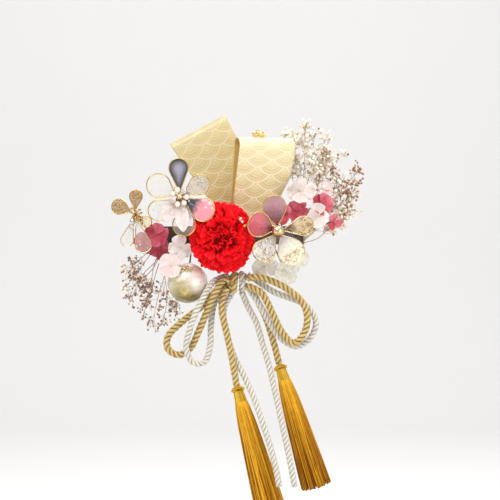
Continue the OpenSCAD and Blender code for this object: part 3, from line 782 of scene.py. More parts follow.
# Share of the length and of the end radius along the skirt
TASSEL_LINE = np.array([(0.125, 0.37), (0.16, 0.45), (0.3, 0.6), (0.55, 0.75), (0.8, 0.88), (1.0, 0.97)])


def skirt_radius(share):
    return np.interp(share, TASSEL_LINE[:, 0], TASSEL_LINE[:, 1]) * TASSEL_R


def add_collar(form, spot):
    """A rolled ring of floss whose front edge dips."""
    turns = np.linspace(0, 2 * np.pi, NECK_SIDES + 1)
    drops = [0.7 * math.cos(2 * t) - 0.9 * max(0.0, -math.sin(t)) for t in turns]
    ring = np.array([spot(COLLAR_AT, COLLAR_R, t, drop) for t, drop in zip(turns, drops)])
    for strand in range(COLLAR_STRANDS):
        s = np.linspace(0, 4 * np.pi, NECK_SIDES + 1) + strand * 2 * np.pi / COLLAR_STRANDS
        line = coil_round(ring, COLLAR_COIL_R, s)
        add_tube(form, line, COLLAR_STRAND_R, 7, 1, 0.35 + 0.1 * strand)


def add_neck(form, spot, draw):
    """Threads laid side by side over a core."""
    shares = np.linspace(NECK_FROM, 0.15, 12)
    radii = np.interp(shares, [NECK_FROM, 0.05, 0.09, 0.15], [3.3, 3.5, 4.0, 4.4])
    turns = np.linspace(0, 2 * np.pi, NECK_SIDES + 1)[:-1]
    core = np.array([[spot(a, r, t) for t in turns] for a, r in zip(shares, radii)])
    form.add_rings(core, tint=0.55, slot=1, caps=())
    for k in range(NECK_THREADS):
        turn = 2 * np.pi * k / NECK_THREADS + draw.uniform(-0.02, 0.02)
        line = np.array([spot(a, r + 0.1, turn) for a, r in zip(shares, radii)])
        add_tube(form, line, NECK_THREAD_R, 5, 1, draw.uniform(0.3, 0.95))


def add_skirt(form, spot, draw):
    """A dark inner cone, painted shade inside the skirt, and many threads that gather in locks."""
    shares = np.linspace(SKIRT_FROM, 0.95, 14)
    turns = np.arange(CORE_SIDES) * 2 * np.pi / CORE_SIDES
    core = np.array([[spot(at, radius, t) for t in turns]
                     for at, radius in zip(shares, skirt_radius(shares) * CORE_SHARE)])
    # Painted shade: the inner cone is nearly black, standing in for the shade inside the skirt
    form.add_rings(core, tint=0.05, caps=(1,))
    lock_tone = draw.uniform(-0.1, 0.2, TASSEL_LOCKS)
    for k in range(TASSEL_STRANDS):
        layer = draw.choice([0.78, 0.9, 1.0], p=[0.3, 0.35, 0.35])
        start = 2 * np.pi * k / TASSEL_STRANDS + draw.uniform(-0.05, 0.05)
        number = round(start / (2 * np.pi) * TASSEL_LOCKS)
        lock = 2 * np.pi / TASSEL_LOCKS * (number + 0.25 * math.sin(3 * start))
        end = lerp(start, lock, draw.uniform(0.0, 0.75)) + draw.normal(0, 0.05)
        swing = draw.normal(0, 0.05)
        stop = 1.0 + draw.uniform(-0.025, 0.0)
        steps = np.linspace(SKIRT_FROM, stop, 17)
        t = (steps - SKIRT_FROM) / (stop - SKIRT_FROM)
        radius = skirt_radius(steps) * lerp(1.0, layer, t) * (1 + 0.02 * draw.normal(0, 1) * t)
        # Strands between two locks lie deeper
        radius = radius * (1 - 0.07 * t * min(1.0, abs(end - lock) * TASSEL_LOCKS / np.pi))
        turn = lerp(start, end, t ** 1.3) + swing * np.sin(np.pi * t * draw.uniform(0.8, 2.0))
        path = np.array([spot(a, r, b) for a, r, b in zip(steps, radius, turn)])
        # Painted shade: strands of the inner layers are darker
        tone = draw.normal(0, 0.23) - 1.3 * (1 - layer) * t ** 0.5 + lock_tone[number % TASSEL_LOCKS] * t
        tint = np.clip(lerp(0.92, 0.46, t ** 0.4) + tone, 0, 1)
        add_tube(form, path, FLOSS_R * lerp(0.85, 1.1, t), 4, tint=np.pad(tint, 1, "edge"))


def make_tassels():
    for number, (name, (top, aim)) in enumerate(TASSELS.items()):
        top, aim = np.array(top), np.array(aim)
        ahead = unit(aim - top)
        side = unit(np.cross(ahead, (0, 1, 0)))
        up = np.cross(side, ahead)

        def spot(share, radius, turn, drop=0.0):
            return (top + (share * TASSEL_LEN + drop) * ahead
                    + radius * (math.cos(turn) * side + math.sin(turn) * up))

        draw = np.random.default_rng(60 + number)
        form = Form()
        add_collar(form, spot)
        add_neck(form, spot, draw)
        add_skirt(form, spot, draw)
        piece(form, name + "_floss", [TASSEL_FLOSS, TASSEL_NECK], [name])


# Ribbon loops

RIBBON_T = 0.55
RIBBON_SOLID_T = 1.0
RIBBON_FOOT_HALF = 0.8
RIBBON_COLS, RIBBON_ROWS, FOLD_ROWS = 44, 36, 24
# The left loop leans about a point of its front view; the right one is turned about an upright axis
LEAN, LEAN_FROM, LEAN_AT = 28, 76, (-29, 80.7)
YAW, YAW_AT = 21, (12, -3.6)


def ribbon_profile(fold, r, foot):
    """Side view of a folded band from the front foot over the top to the back foot: (y, z) points."""
    r = r - RIBBON_SOLID_T / 2
    front = np.linspace([foot[0] - RIBBON_FOOT_HALF, foot[1]], [fold[0] - r, fold[1]], RIBBON_ROWS)
    turn = np.linspace(np.pi, 0, FOLD_ROWS + 2)[1:-1]
    over = joined(fold[0] + r * np.cos(turn), fold[1] + r * np.sin(turn))
    back = np.linspace([fold[0] + r, fold[1]], [foot[0] + RIBBON_FOOT_HALF, foot[1]], RIBBON_ROWS)
    return np.concatenate([front, over, back])


def turned(p, q, degrees):
    """Two coordinates turned about their origin."""
    a = math.radians(degrees)
    return p * math.cos(a) - q * math.sin(a), p * math.sin(a) + q * math.cos(a)


def make_ribbon(name, profile, left_edge, right_edge, place, material, wave, seed):
    """A ribbon loop: a thin band over the profile, its edges given as (height, x) pairs."""
    heights = profile[:, 1]
    left = np.interp(heights, *np.array(sorted(left_edge)).T)
    right = np.interp(heights, *np.array(sorted(right_edge)).T)
    t = np.linspace(0, 1, RIBBON_COLS)[None, :]
    x = lerp(left[:, None], right[:, None], t)
    run = lengths_along(profile)
    points = joined(x, profile[:, :1], profile[:, 1:])
    # The band bows and ripples a little, more towards its free edges
    rise = (heights[:, None] - heights.min()) / np.ptp(heights)
    points[..., 1] += wave * np.sin(np.pi * t * 1.3 + 0.4 + 2.2 * rise) * np.sin(np.pi * rise) ** 0.7
    points[..., 1] += 0.25 * noise_at(points, 0.06, seed)
    # The plan's third number tells the lining from the outer face
    plan, lining = [joined(x, run[:, None], inner) for inner in (0.0, 1.0)]
    form = Form()
    add_shell(form, points, plan, RIBBON_T, back_plan=lining)
    form.points = [place(*form.points[0].T)]
    obj = piece(form, name + "_brocade", [material], [name])


def make_ribbons():
    def lean(x, y, z):
        x, z = turned(x, z - LEAN_FROM, LEAN)
        return joined(LEAN_AT[0] + x, y, LEAN_AT[1] + z)

    make_ribbon(
        "ribbon_loop_left", ribbon_profile((-2, 71), 5, (-3.6, -4.2)),
        [(-4.2, -13.7), (48, -20.5), (72, -23.5), (80, -23.5)],
        [(-4.2, -6.3), (22, 8), (46, 23.5), (80, 23.5)],
        # Painted shade: this colour darkens the left loop's whole band
        lean, brocade_look("brocade_left", "#DFD8C6"), 0.5, 3.1,
    )

    def yaw(x, y, z):
        x, y = turned(x - YAW_AT[0], y - YAW_AT[1], YAW)
        return joined(YAW_AT[0] + x, YAW_AT[1] + y, z)

    make_ribbon(
        "ribbon_loop_right", ribbon_profile((-19, 66.4), 7, (-3.6, 4.6)),
        [(4.5, 6.6), (26, -5.2), (80, -5.2)],
        [(4.5, 17), (28, 31.6), (44, 38.4), (60, 39.5), (70, 39.3), (73.4, 38)],
        yaw, brocade_look("brocade_right", "#FFFDF6"), 0.6, 8.7,
    )


# Chrysanthemum

MUM_AT = np.array([-9.2, -30, -2.0])
MUM_R = 26.0
MUM_TALL = 1.09
MUM_PETALS = 236
MUM_PETAL_T = 0.3
# How far round from the front the petals grow, in degrees
MUM_BACK = 148.0
# The core's and the petals' roots' shares of the radius
MUM_CORE, MUM_ROOT = 0.62, 0.5
MUM_STEM_R = 4.4


def mum_petal(draw, polar, turn):
    """Points and plan of one ruffled petal that rises from the ball and leans away from its front."""
    rows, cols = 9, 19
    v = np.linspace(0, 1, rows)
    u = np.linspace(-1, 1, cols)[None, :]
    out = np.array([math.sin(polar) * math.cos(turn), -math.cos(polar), math.sin(polar) * math.sin(turn)])
    down = np.array([math.cos(polar) * math.cos(turn), math.sin(polar), math.cos(polar) * math.sin(turn)])
    wide = np.cross(out, down)
    twist = draw.normal(0, 0.5)
    level, rise = math.cos(twist), math.sin(twist)
    wide, down = level * wide + rise * down, level * down - rise * wide
    near_middle = math.exp(-(polar / 0.22) ** 2)
    # The petal leans over most between the middle and the rim, and curls inwards in the middle
    lean = 0.8 * math.sin(min(2 * polar, math.pi)) + 0.25 * (polar > math.pi / 2) + draw.normal(0, 0.28)
    lean = lerp(lean, -0.4, near_middle)
    bend = lean * v ** 1.3
    reach = np.stack([np.cumsum(np.cos(bend)), np.cumsum(np.sin(bend))], -1) / rows
    root = MUM_R * MUM_ROOT
    tip = MUM_R * (0.99 - 0.12 * near_middle) * draw.uniform(0.9, 1.0)
    # Length that takes the tip to its distance from the ball's middle
    a, b, c = np.sum(reach[-1] ** 2), root * reach[-1, 0], root ** 2 - tip ** 2
    length = (-b + math.sqrt(b * b - a * c)) / a
    along = unit(np.cos(bend)[:, None] * out + np.sin(bend)[:, None] * down)
    face = unit(np.cross(wide, along))
    spine = (root + length * reach[:, :1]) * out + length * reach[:, 1:] * down
    half = lerp(5.0, 2.4, near_middle) * draw.uniform(0.8, 1.15)
    width = half * (0.22 + 0.78 * v[:, None])
    teeth = draw.uniform(0.6, 1.3) * np.abs(np.sin(u * draw.uniform(8, 11) + draw.uniform(0, 3)))
    short = teeth * v[:, None] ** 5 + (1.6 * u ** 2 + 0.6 * u ** 4) * v[:, None] ** 2.5
    wave = draw.uniform(0, 6.28, 2)
    ruffle = (1.5 * np.sin(u * draw.uniform(5.5, 7.5) + wave[0]) * v[:, None] ** 2.2
              + 0.5 * np.sin(u * 15 + wave[1]) * v[:, None] ** 3)
    hollow = draw.uniform(-0.6, 1.4) * u ** 2 * v[:, None]
    points = (spine[:, None] + (u * width)[..., None] * wide - short[..., None] * along[:, None]
              + (ruffle + hollow)[..., None] * face[:, None])
    size = np.linalg.norm(points, axis=-1, keepdims=True)
    points = points * np.minimum(1.0, MUM_R / size)
    # Painted shade: the deeper a point lies in the ball, the darker its red
    depth = np.clip((np.linalg.norm(points, axis=-1) - MUM_R * 0.66) / (MUM_R * 0.3), 0, 1)
    depth = depth * lerp(draw.uniform(0.72, 1.0), 0.7, near_middle)
    plan = joined(u, v[:, None], depth)
    return points * [1, 1, MUM_TALL], plan


def make_mum():
    draw = np.random.default_rng(5)
    form = Form()
    golden = math.pi * (3 - math.sqrt(5))
    for i in range(MUM_PETALS):
        share = (i + 0.5) / MUM_PETALS
        polar = math.acos(1 - share * (1 - math.cos(math.radians(MUM_BACK)))) + draw.normal(0, 0.03)
        points, plan = mum_petal(draw, abs(polar), i * golden + draw.normal(0, 0.08))
        add_shell(form, MUM_AT + points, plan, MUM_PETAL_T)
    add_ball(form, MUM_AT, MUM_R * MUM_CORE, 24, 36, shape=(1, 1, MUM_TALL), bumps=0.05, seed=2)
    stem = np.array([MUM_AT + [0, MUM_R * MUM_ROOT, 0], [MUM_AT[0], -2.6, MUM_AT[2]]])
    add_tube(form, resample(stem, 2), MUM_STEM_R, 24, 1, 0.4)
    piece(form, "mum_petals", [MUM_RED, TAPE], ["mum"])


# Wire-and-film flowers

WIRE_R = 0.42
FILM_T, FILM_RINGS = 0.22, 12
FLAKE_T = 0.08
PETAL_APEX = 2.2
TIP_POINTS, LEG_POINTS = 41, 9
HUB_LEFT = np.array([-40.5, -42, 27.6])
HUB_RIGHT = np.array([31.8, -42, 2.6])
HUB_SMALL = np.array([-75.7, -10, 15.6])

# Each petal: angle, reach, width and lift; film and wire; flakes as material, count, size and how far
# out they begin; bubbles
WIRE_FLOWERS = {
    "left": (HUB_LEFT, [
        ((151, 27, 18.5, 2), CLEAR, GOLD_WIRE, (), 0),
        ((92, 29, 15, 4), SMOKY_DARK_REFLECTION, GOLD_WIRE, (), 0),
        ((32, 25.5, 15.5, 10), PEARLY, GOLD_WIRE, [(FLAKE_PALE, 70, 0.9, 0)], 0),
        ((-28, 30, 18, 18), PINK, GOLD_WIRE, (), 0),
        ((-80.5, 29.5, 17.6, 7.5), CLEAR, GOLD_WIRE, (), 0),
        ((212, 26.5, 16, 0), CLEAR, GOLD_WIRE, (), 16),
    ]),
    "right": (HUB_RIGHT, [
        ((98, 27, 17.8, 8), MAUVE, GOLD_WIRE, (), 0),
        ((161, 26, 19, 27), ROSE, GOLD_WIRE, (), 0),
        ((235, 27.5, 17.5, 16), FROST, GOLD_WIRE,
         [(FLAKE_GOLD, 45, 0.8, 0), (FLAKE_DARK, 45, 0.7, 0), (FLAKE_PALE, 70, 0.9, 0)], 0),
        ((303, 28.5, 20.5, 6), CREAM, PALE_WIRE, [(FLAKE_GOLD, 90, 0.8, 0.62)], 0),
        ((11.5, 27, 15, 6), AMBER, PALE_WIRE, [(FLAKE_COPPER, 110, 0.9, 0), (FLAKE_PALE, 30, 0.8, 0.6)], 0),
    ]),
    "small": (HUB_SMALL, [
        ((154, 20, 12.5, -10), HONEY, GOLD_WIRE, [(FLAKE_GOLD, 110, 0.8, 0), (FLAKE_DARK, 30, 0.6, 0)], 0),
        ((87, 19, 10.5, 4), HONEY, GOLD_WIRE, [(FLAKE_GOLD, 90, 0.8, 0), (FLAKE_DARK, 30, 0.6, 0)], 0),
        ((328, 15, 9, 10), CREAM, GOLD_WIRE, [(FLAKE_GOLD, 30, 0.6, 0)], 0),
        ((286, 31, 13, 12), CLEAR, PALE_WIRE, (), 6),
        ((252, 26, 10.5, -8), CLEAR, PALE_WIRE, (), 0),
    ]),
}


def petal_place(hub, angle, lift):
    """A function that takes petal points (along, across, out) to the row frame."""
    a, l = math.radians(angle), math.radians(lift)
    along = np.array([math.cos(l) * math.cos(a), -math.sin(l), math.cos(l) * math.sin(a)])
    across = np.array([-math.sin(a), 0, math.cos(a)])
    out = np.cross(along, across)
    out = out if out[1] < 0 else -out
    return lambda p: hub + p[..., :1] * along + p[..., 1:2] * across + p[..., 2:] * out


def drop_outline(reach, width, inset):
    """A petal's loop of wire: two straight legs and a round tip, as (along, across) points."""
    r = width / 2 - inset
    middle = reach - width / 2
    apex = PETAL_APEX + 3 * inset
    half = math.asin(r / (middle - apex))
    turn = (np.pi / 2 + half) * np.linspace(-1, 1, TIP_POINTS)
    tip = joined(middle + r * np.cos(turn), r * np.sin(turn))
    legs = np.linspace([apex, 0], tip[0], LEG_POINTS)[1:-1]
    return np.concatenate([[[apex, 0]], legs, tip, legs[::-1] * [1, -1]])


def petal_bow(along, across, reach):
    """Height of a petal's film over its flat plane: bowed along, dished across."""
    return 1.3 * np.sin(np.pi * np.clip(along / reach, 0, 1)) - 0.02 * across ** 2


def add_flakes(form, inside, place, count, size, begin, slot, draw, reach):
    """Torn bits of foil on the film beyond a share of its reach: thin shards with uneven outlines."""
    for _ in range(count):
        along, across = inside(draw)
        while along < begin * reach:
            along, across = inside(draw)
        sides = draw.integers(4, 7)
        turn = np.sort(draw.uniform(0, 2 * np.pi, sides))
        r = size * draw.uniform(0.35, 1.0) * draw.uniform(0.5, 1.2, sides)
        lift = 0.3 + 0.25 * draw.uniform(0, 1)
        slope = draw.normal(0, 0.25, 2)
        x, y = r * np.cos(turn), r * np.sin(turn)
        z = petal_bow(along, across, reach) + lift + slope[0] * x + slope[1] * y
        top = joined(along + x, across + y, z)
        form.add_rings(place(np.stack([top, top - [0, 0, FLAKE_T]])), tint=draw.uniform(0, 1), slot=slot)


def make_wire_petal(node, hub, size, film, wire, flakes, bubbles, slot, seed):
    """One petal: a loop of wire with a film in it, and the foil or bubbles that the film holds."""
    angle, reach, width, lift = size
    draw = np.random.default_rng(100 + seed)
    place = petal_place(hub, angle, lift)
    form = Form()
    outline = drop_outline(reach, width, WIRE_R)
    middle = np.array([reach - width * 0.55, 0.0])
    closed = np.vstack([outline, outline[:1]])
    loop = joined(*closed.T, petal_bow(*closed.T, reach))
    foot = PETAL_APEX * 0.75
    loop = np.vstack([[foot, 0.15, 0], loop[1:-1], [foot, -0.15, 0]])
    add_tube(form, place(resample(loop, 0.8)), WIRE_R, 8, 1)
    # The film: rings from the petal's middle out to the wire, sagging and a little uneven
    rings = np.linspace(0.02, 0.995, FILM_RINGS)[:, None]
    flat = middle + rings[..., None] * (closed[None] - middle)
    along, across = flat[..., 0], flat[..., 1]
    ripple = noise_at(joined(along, across, 0.0), 0.35, seed)
    height = petal_bow(along, across, reach) - 0.5 * (1 - rings ** 2) + 0.18 * ripple
    plan = joined(along / reach, across / width, rings)
    add_shell(form, place(joined(along, across, height)), plan, FILM_T)

    def inside(draw):
        k = draw.integers(0, len(outline))
        return middle + math.sqrt(draw.uniform(0, 0.85)) * (outline[k] - middle)

    materials = [film, wire]
    for material, count, flake_size, begin in flakes:
        materials.append(material)
        add_flakes(form, inside, place, count, flake_size, begin, len(materials) - 1, draw, reach)
    for _ in range(bubbles):
        along, across = inside(draw)
        at = place(np.array([along, across, petal_bow(along, across, reach) + 0.2]))
        add_ball(form, at, draw.uniform(0.35, 0.8), 8, 10, len(materials))
    if bubbles:
        materials.append(BUBBLE)
    piece(form, node + "_dipped", materials, [node])


def make_wire_flowers():
    seed = 0
    for side, (hub, petals) in WIRE_FLOWERS.items():
        for number, (size, film, wire, flakes, bubbles) in enumerate(petals, 1):
            seed += 1
            node = "flower_%s_petal_%d" % (side, number)
            make_wire_petal(node, hub, size, film, wire, flakes, bubbles, "film_" + side, seed)


# Beads, their wires and stems

HEAD_R = 93
BAR_T = 2
PEARLS, PEARL_FAR, PEARL_WIRE_R = 7, 5.4, 0.22
CRYSTALS = 8
TUFT_WIRES, TUFT_WIRE_R = 26, 0.24
HOOK_R = 0.35
TURN_WIRE_R, TURN_PITCH = 0.3, 0.7


def seat(angle, z, off):
    """A point in front of the bar at an angle from its middle and a height."""
    a = math.radians(angle)
    r = HEAD_R + BAR_T + off
    return np.array([r * math.sin(a), HEAD_R - r * math.cos(a), z])


def add_stem(form, start, end, slot, radius):
    """A taped stem of two twisted wires from start to end."""
    path = smooth_path([start, (start + end) / 2, end], 0.8)
    s = lengths_along(path) / (radius * 5) * 2 * np.pi
    for half in (0, np.pi):
        add_tube(form, coil_round(path, radius * 0.45, s + half), radius * 0.62, 7, slot, 0.4 + 0.1 * half)


def add_wire_turns(form, hub, r, y, slot, turns=3):
    """Turns of fine wire round a bead's foot."""
    t = np.linspace(0, turns * 2 * np.pi, turns * 20)
    path = hub + joined(r * np.cos(t), y + t / (2 * np.pi) * TURN_PITCH, r * np.sin(t))
    add_tube(form, path, TURN_WIRE_R, 6, slot)


def around(hub, turn, far, y):
    """A point in front of a hub, at an angle and a distance from its axis."""
    return hub + [far * math.cos(turn), y, far * math.sin(turn)]


def make_gold_bead(node, hub, y, r, grid, turns, foot):
    """A polished bead on its stem, with turns of wire (radius, start and count) at its foot."""
    form = Form()
    add_ball(form, hub + [0, y, 0], r, *grid)
    wire_r, wire_y, count = turns
    add_wire_turns(form, hub, wire_r, wire_y, 1, count)
    add_stem(form, hub + [0, -1.5, 0], foot, 2, 1.1)
    piece(form, node + "_set", [BEAD_GOLD, GOLD_WIRE, TAPE], [node])


def make_pearls():
    """A ring of pearls and cut stones on fine wires, with smaller stones outside it."""
    form = Form()
    draw = np.random.default_rng(31)
    for k in range(PEARLS):
        turn = 2 * np.pi * k / PEARLS + draw.normal(0, 0.04)
        far = PEARL_FAR + draw.uniform(-0.1, 0.2)
        at = around(HUB_LEFT, turn, far, -5.2 + draw.uniform(-0.4, 0.4))
        add_ball(form, at, draw.uniform(2.15, 2.35), 16, 22, 1 if k % 3 == 1 else 0)
        wire = np.array([at + [0, 1.4, 0], around(HUB_LEFT, turn, 0.8, -1.2)])
        add_tube(form, resample(wire, 1), PEARL_WIRE_R, 5, 2)
    for k in range(CRYSTALS):
        turn = 2 * np.pi * (k + 0.5) / CRYSTALS + draw.normal(0, 0.2)
        far = draw.uniform(6.8, 8.0)
        at = around(HUB_LEFT, turn, far, -3.9 + draw.uniform(-0.6, 0.6))
        add_ball(form, at, draw.uniform(0.7, 1.1), 8, 10, 1, shape=(1, 1.1, 1))
    piece(form, "flower_left_pearl_ring", [PEARL, CRYSTAL, GOLD_WIRE], ["flower_left_pearls"])


def make_small_beads():
    """The small flower's silver bead with a tuft of wires tipped with foil, and its clear drop."""
    form = Form()
    silver = HUB_SMALL + [-1.9, -3.3, -5.4]
    add_ball(form, silver, 2.0, 18, 26, shape=(1, 1, 1.35))
    add_wire_turns(form, HUB_SMALL, 1.2, -1.4, 1)
    neck = [HUB_SMALL + [0, -1.8, 0], HUB_SMALL + [-0.9, -3.3, -1.4], silver]
    add_tube(form, smooth_path(neck, 0.8), HOOK_R, 6, 1)
    add_stem(form, HUB_SMALL + [0, -1.2, 0], seat(-38, 4, 1.2), 2, 1.0)
    draw = np.random.default_rng(33)
    for _ in range(TUFT_WIRES):
        start = HUB_SMALL + draw.uniform(-1.0, 1.0, 3) + [0, -1.5, 0]
        end = HUB_SMALL + [draw.uniform(-3.5, 6), draw.uniform(-4.5, -1.5), draw.uniform(-6, 7)]
        bent = smooth_path([start, (start + end) / 2 + draw.normal(0, 0.8, 3), end], 1)
        add_tube(form, bent, TUFT_WIRE_R, 5, 1)
        add_crumple(form, end, draw.uniform(0.5, 0.9), draw.uniform(0, 9), 3)
    piece(form, "flower_small_bead_set", [BEAD_SILVER, GOLD_WIRE, TAPE, FLAKE_GOLD],
          ["flower_small_bead_1"])

    form = Form()
    clear = HUB_SMALL + [-2.3, -5, -10]
    add_ball(form, clear, 1.9, 14, 20, shape=(1, 1, 1.1))
    hook = np.array([clear + [0.1, 0.5, 1.4], clear + [0.2, 0.9, 2.4]])
    add_tube(form, resample(hook, 0.5), HOOK_R, 6, 1)
    piece(form, "flower_small_drop", [CRYSTAL, GOLD_WIRE], ["flower_small_bead_2"])


def make_beads():
    make_gold_bead("flower_left_bead", HUB_LEFT, -4.2, 2.5, (20, 30), (1.6, -1.6, 3), seat(-26, 4, 1.2))
    make_pearls()
    make_gold_bead("flower_right_bead", HUB_RIGHT, -5.9, 4.6, (32, 48), (2.2, -2.4, 4), seat(19, 1, 0.9))
    make_small_beads()


# Petals of cloth, hydrangea and pale blossoms

def add_petal(form, base, tip, facing, width, seed, cup, bend, wave=0.09, thickness=0.3, widest=0.62,
              rows=13, cols=13, tint=0.5, point=0.5):
    """One thin petal from base to tip, cupped towards facing, with a wavy edge. Above 0.5, point draws
    its round end out to a tip."""
    draw = np.random.default_rng(seed)
    length = np.linalg.norm(tip - base)
    along = (tip - base) / length
    across = unit(np.cross(along, facing))
    out = np.cross(across, along)
    out = out if np.dot(out, facing) > 0 else -out
    v = np.linspace(0.02, 1, rows)[:, None]
    u = np.linspace(-1, 1, cols)[None, :]
    round_end = (1 - (np.maximum(v - widest, 0) / (1.03 - widest)) ** 2.4) ** point
    half = width / 2 * np.where(v < widest, np.sin(np.pi / 2 * v / widest) ** 0.8, round_end)
    half = np.maximum(half, 0.12)
    ripple = draw.uniform(0, 6.28, 3)
    ruffle = np.sin(5 * u + ripple[0]) * np.abs(u) + 0.6 * np.sin(7 * v + 3 * u + ripple[1])
    z = cup * width * u ** 2 * v + bend * length * (v ** 2 - v) + wave * width * v * ruffle
    x = v * length * np.ones_like(u)
    points = base + x[..., None] * along + (u * half)[..., None] * across + z[..., None] * out
    plan = joined(u, v, 0.0)
    shade = np.clip(tint + 0.35 * (v - 0.4) + 0.15 * np.abs(u) + draw.uniform(-0.08, 0.08), 0, 1)
    add_shell(form, points, plan, thickness, 0, shade.ravel())


# Florets: middle, way it faces (x and z, with y -1), petal length, roll, petals, foot angle, foot height
FLORETS = {
    "hydrangea_left_red_1": ([-60, -8, 0.5], (-0.3, 0.2), 9, 10, 4, -33.5, 3.5, HYDRANGEA_RED),
    "hydrangea_left_red_2": ([-58, 0, -9.5], (-0.2, -0.3), 9, 50, 4, -32, -2, HYDRANGEA_RED),
    "hydrangea_left_red_3": ([-69, 5, -6], (-0.6, -0.2), 8, 30, 4, -36, 1, HYDRANGEA_RED),
    "hydrangea_left_white_1": ([-41.5, -14, -10], (0, -0.1), 9, 0, 4, -23, -2, HYDRANGEA_LIT_WHITE),
    "hydrangea_left_white_2": ([-47.5, -32, -23], (-0.1, 0.1), 9, 40, 4, -28, -5, HYDRANGEA_BLUSH),
    "hydrangea_right_red_1": ([33, -20, 16], (0, 0.1), 8.5, 45, 4, 22.5, 2, HYDRANGEA_LIT_ROSE),
    "hydrangea_right_red_2": ([47, -12, 17.5], (0.1, 0), 8.5, 10, 4, 25, 2, HYDRANGEA_LIT_ROSE),
    "hydrangea_right_red_3": ([75, -7, 10], (0.7, -0.2), 6, 60, 3, 29.5, -1, HYDRANGEA_LIT_ROSE),
    "hydrangea_right_red_4": ([65, -9, 24], (0.4, 0.1), 8.5, 20, 4, 27.5, 2, HYDRANGEA_LIT_ROSE),
    "hydrangea_right_white_1": ([50, -14, 33], (0.1, 0.3), 10.5, 5, 4, 26, 5.5, HYDRANGEA_SHADED_CREAM),
    "hydrangea_right_white_2": ([68, -3, 34], (0.5, 0.4), 6.5, 30, 4, 28.5, 5.5, HYDRANGEA_PINK),
    "hydrangea_right_white_3": ([61.5, -15, 14.5], (0.4, 0), 9, 0, 4, 30.5, 2, HYDRANGEA_SHADED_CREAM),
    "pale_petals_1": ([22.5, -13, -23.5], (0.1, -0.3), 9, 20, 4, 12, -5, PALE_LACE),
    "pale_petals_2": ([38.5, -9, -27.5], (0.3, -0.3), 9.5, 60, 4, 17, -5, PALE_LACE),
    "pale_petals_3": ([47, -6, -17], (0.5, -0.3), 8, 0, 4, 24, -4, PALE_LACE),
}
FLORET_STEM_R, FLORET_EYE_R = 0.5, 0.7


def make_florets():
    for number, (name, row) in enumerate(FLORETS.items()):
        middle, face, size, roll, petals, foot_angle, foot_z, look = row
        draw = np.random.default_rng(200 + number)
        middle = np.array(middle, float)
        facing = unit(np.array([face[0], -1, face[1]]))
        across = unit(np.cross(facing, (0, 0, 1)))
        up = np.cross(across, facing)
        narrow, point = (0.88, 0.85) if "white" in name else (1, 0.55)
        form = Form()
        for k in range(petals):
            turn = math.radians(roll + 360 / petals * k) + draw.normal(0, 0.12)
            way = math.cos(turn) * across + math.sin(turn) * up
            lift = draw.uniform(0.1, 0.45)
            way = unit(way + lift * facing)
            length = size * draw.uniform(0.98, 1.18)
            spin = unit(facing - lift * way + draw.normal(0, 0.22, 3))
            start = middle + 0.2 * way - (0.4 - 0.5 * (k % 2)) * facing
            width = length * draw.uniform(1.15, 1.35) * narrow
            add_petal(form, start, middle + length * way, spin, width, 300 + number * 7 + k,
                      cup=draw.uniform(-0.12, 0.22), bend=draw.uniform(0.05, 0.45),
                      tint=draw.uniform(0.25, 0.75), point=point)
        add_ball(form, middle + 0.3 * facing, FLORET_EYE_R, 7, 9, 0, tint=0.75, bumps=0.2, seed=number)
        neck, foot = middle - 3 * facing, seat(foot_angle, foot_z, 0.6)
        stem = smooth_path([middle - 0.3 * facing, neck, lerp(neck, foot, 0.55), foot], 1.2)
        add_tube(form, stem, FLORET_STEM_R, 7, 1, 0.3)
        slot = "pale_petal" if name.startswith("pale") else "hydrangea_" + name.split("_")[2]
        piece(form, name + "_floret", [look, TAPE], [name])


# Milky petals inside the left flower: angle, reach, width, lift
INNER_PETALS = [(236, 21.5, 12, 8), (277, 26.5, 10.6, 12), (296.5, 18, 6, 5)]


def make_milky_petals():
    """The three milky petals inside the left flower, pointed and softly folded."""
    for number, (angle, reach, width, lift) in enumerate(INNER_PETALS, 1):
        place = petal_place(HUB_LEFT - [0, 1.5, 0], angle, lift)
        base, tip = place(np.array([[PETAL_APEX, 0, 0], [reach, 0, 0.4]]))
        form = Form()
        add_petal(form, base, tip, (0, -1, 0), width, 80 + number, cup=0.1, bend=0.06, wave=0.04,
                  thickness=0.4, widest=0.5, rows=17, cols=15, point=1.0)
        node = "flower_left_inner_%d" % number
        piece(form, node + "_petal", [MILKY], [node])


# Gold ball, foil bits

BALL_AT = np.array([-35.4, -22, -36.0])
BALL_R = 15.3
BALL_CREASE = 0.22
BALL_STRANDS = 90
STRAND_R, STRAND_STEPS = 0.14, 5


def make_gold_ball():
    form = Form()
    d = ball_points(72, 120)
    crease = noise_at(d * [1, 1, 2.2], 3.5, 1.3) + 0.5 * noise_at(d * [1, 1, 3], 9.0, 4.1)
    form.add_rings(BALL_AT + d * (BALL_R - 0.25 + BALL_CREASE * crease[..., None]), d, flip=True)
    # Loose strands of foil that hang over the ball from its top
    draw = np.random.default_rng(9)
    top = BALL_AT + BALL_R * unit(np.array([-0.12, -0.62, 0.78]))
    for _ in range(BALL_STRANDS):
        start = top + draw.normal(0, 1.0, 3) * [2.3, 0.5, 0.8]
        sweep = unit(np.array([draw.normal(0.25, 0.5), draw.normal(-0.2, 0.3), -1.0]))
        path = [start + unit(start - BALL_AT) * 0.6]
        for _ in range(STRAND_STEPS):
            ahead = path[-1] + sweep * draw.uniform(0.8, 1.3)
            path.append(BALL_AT + unit(ahead - BALL_AT) * (BALL_R + draw.uniform(0.1, 0.5)))
        add_tube(form, path, STRAND_R, 4, 1, draw.uniform(0, 1))
    foot = seat(-20, -3, 0.6)
    add_stem(form, BALL_AT + (BALL_R - 1) * unit(foot - BALL_AT), foot, 2, 0.7)
    piece(form, "gold_ball_foil", [BALL_FOIL, PALE_WIRE, TAPE], ["gold_ball"])


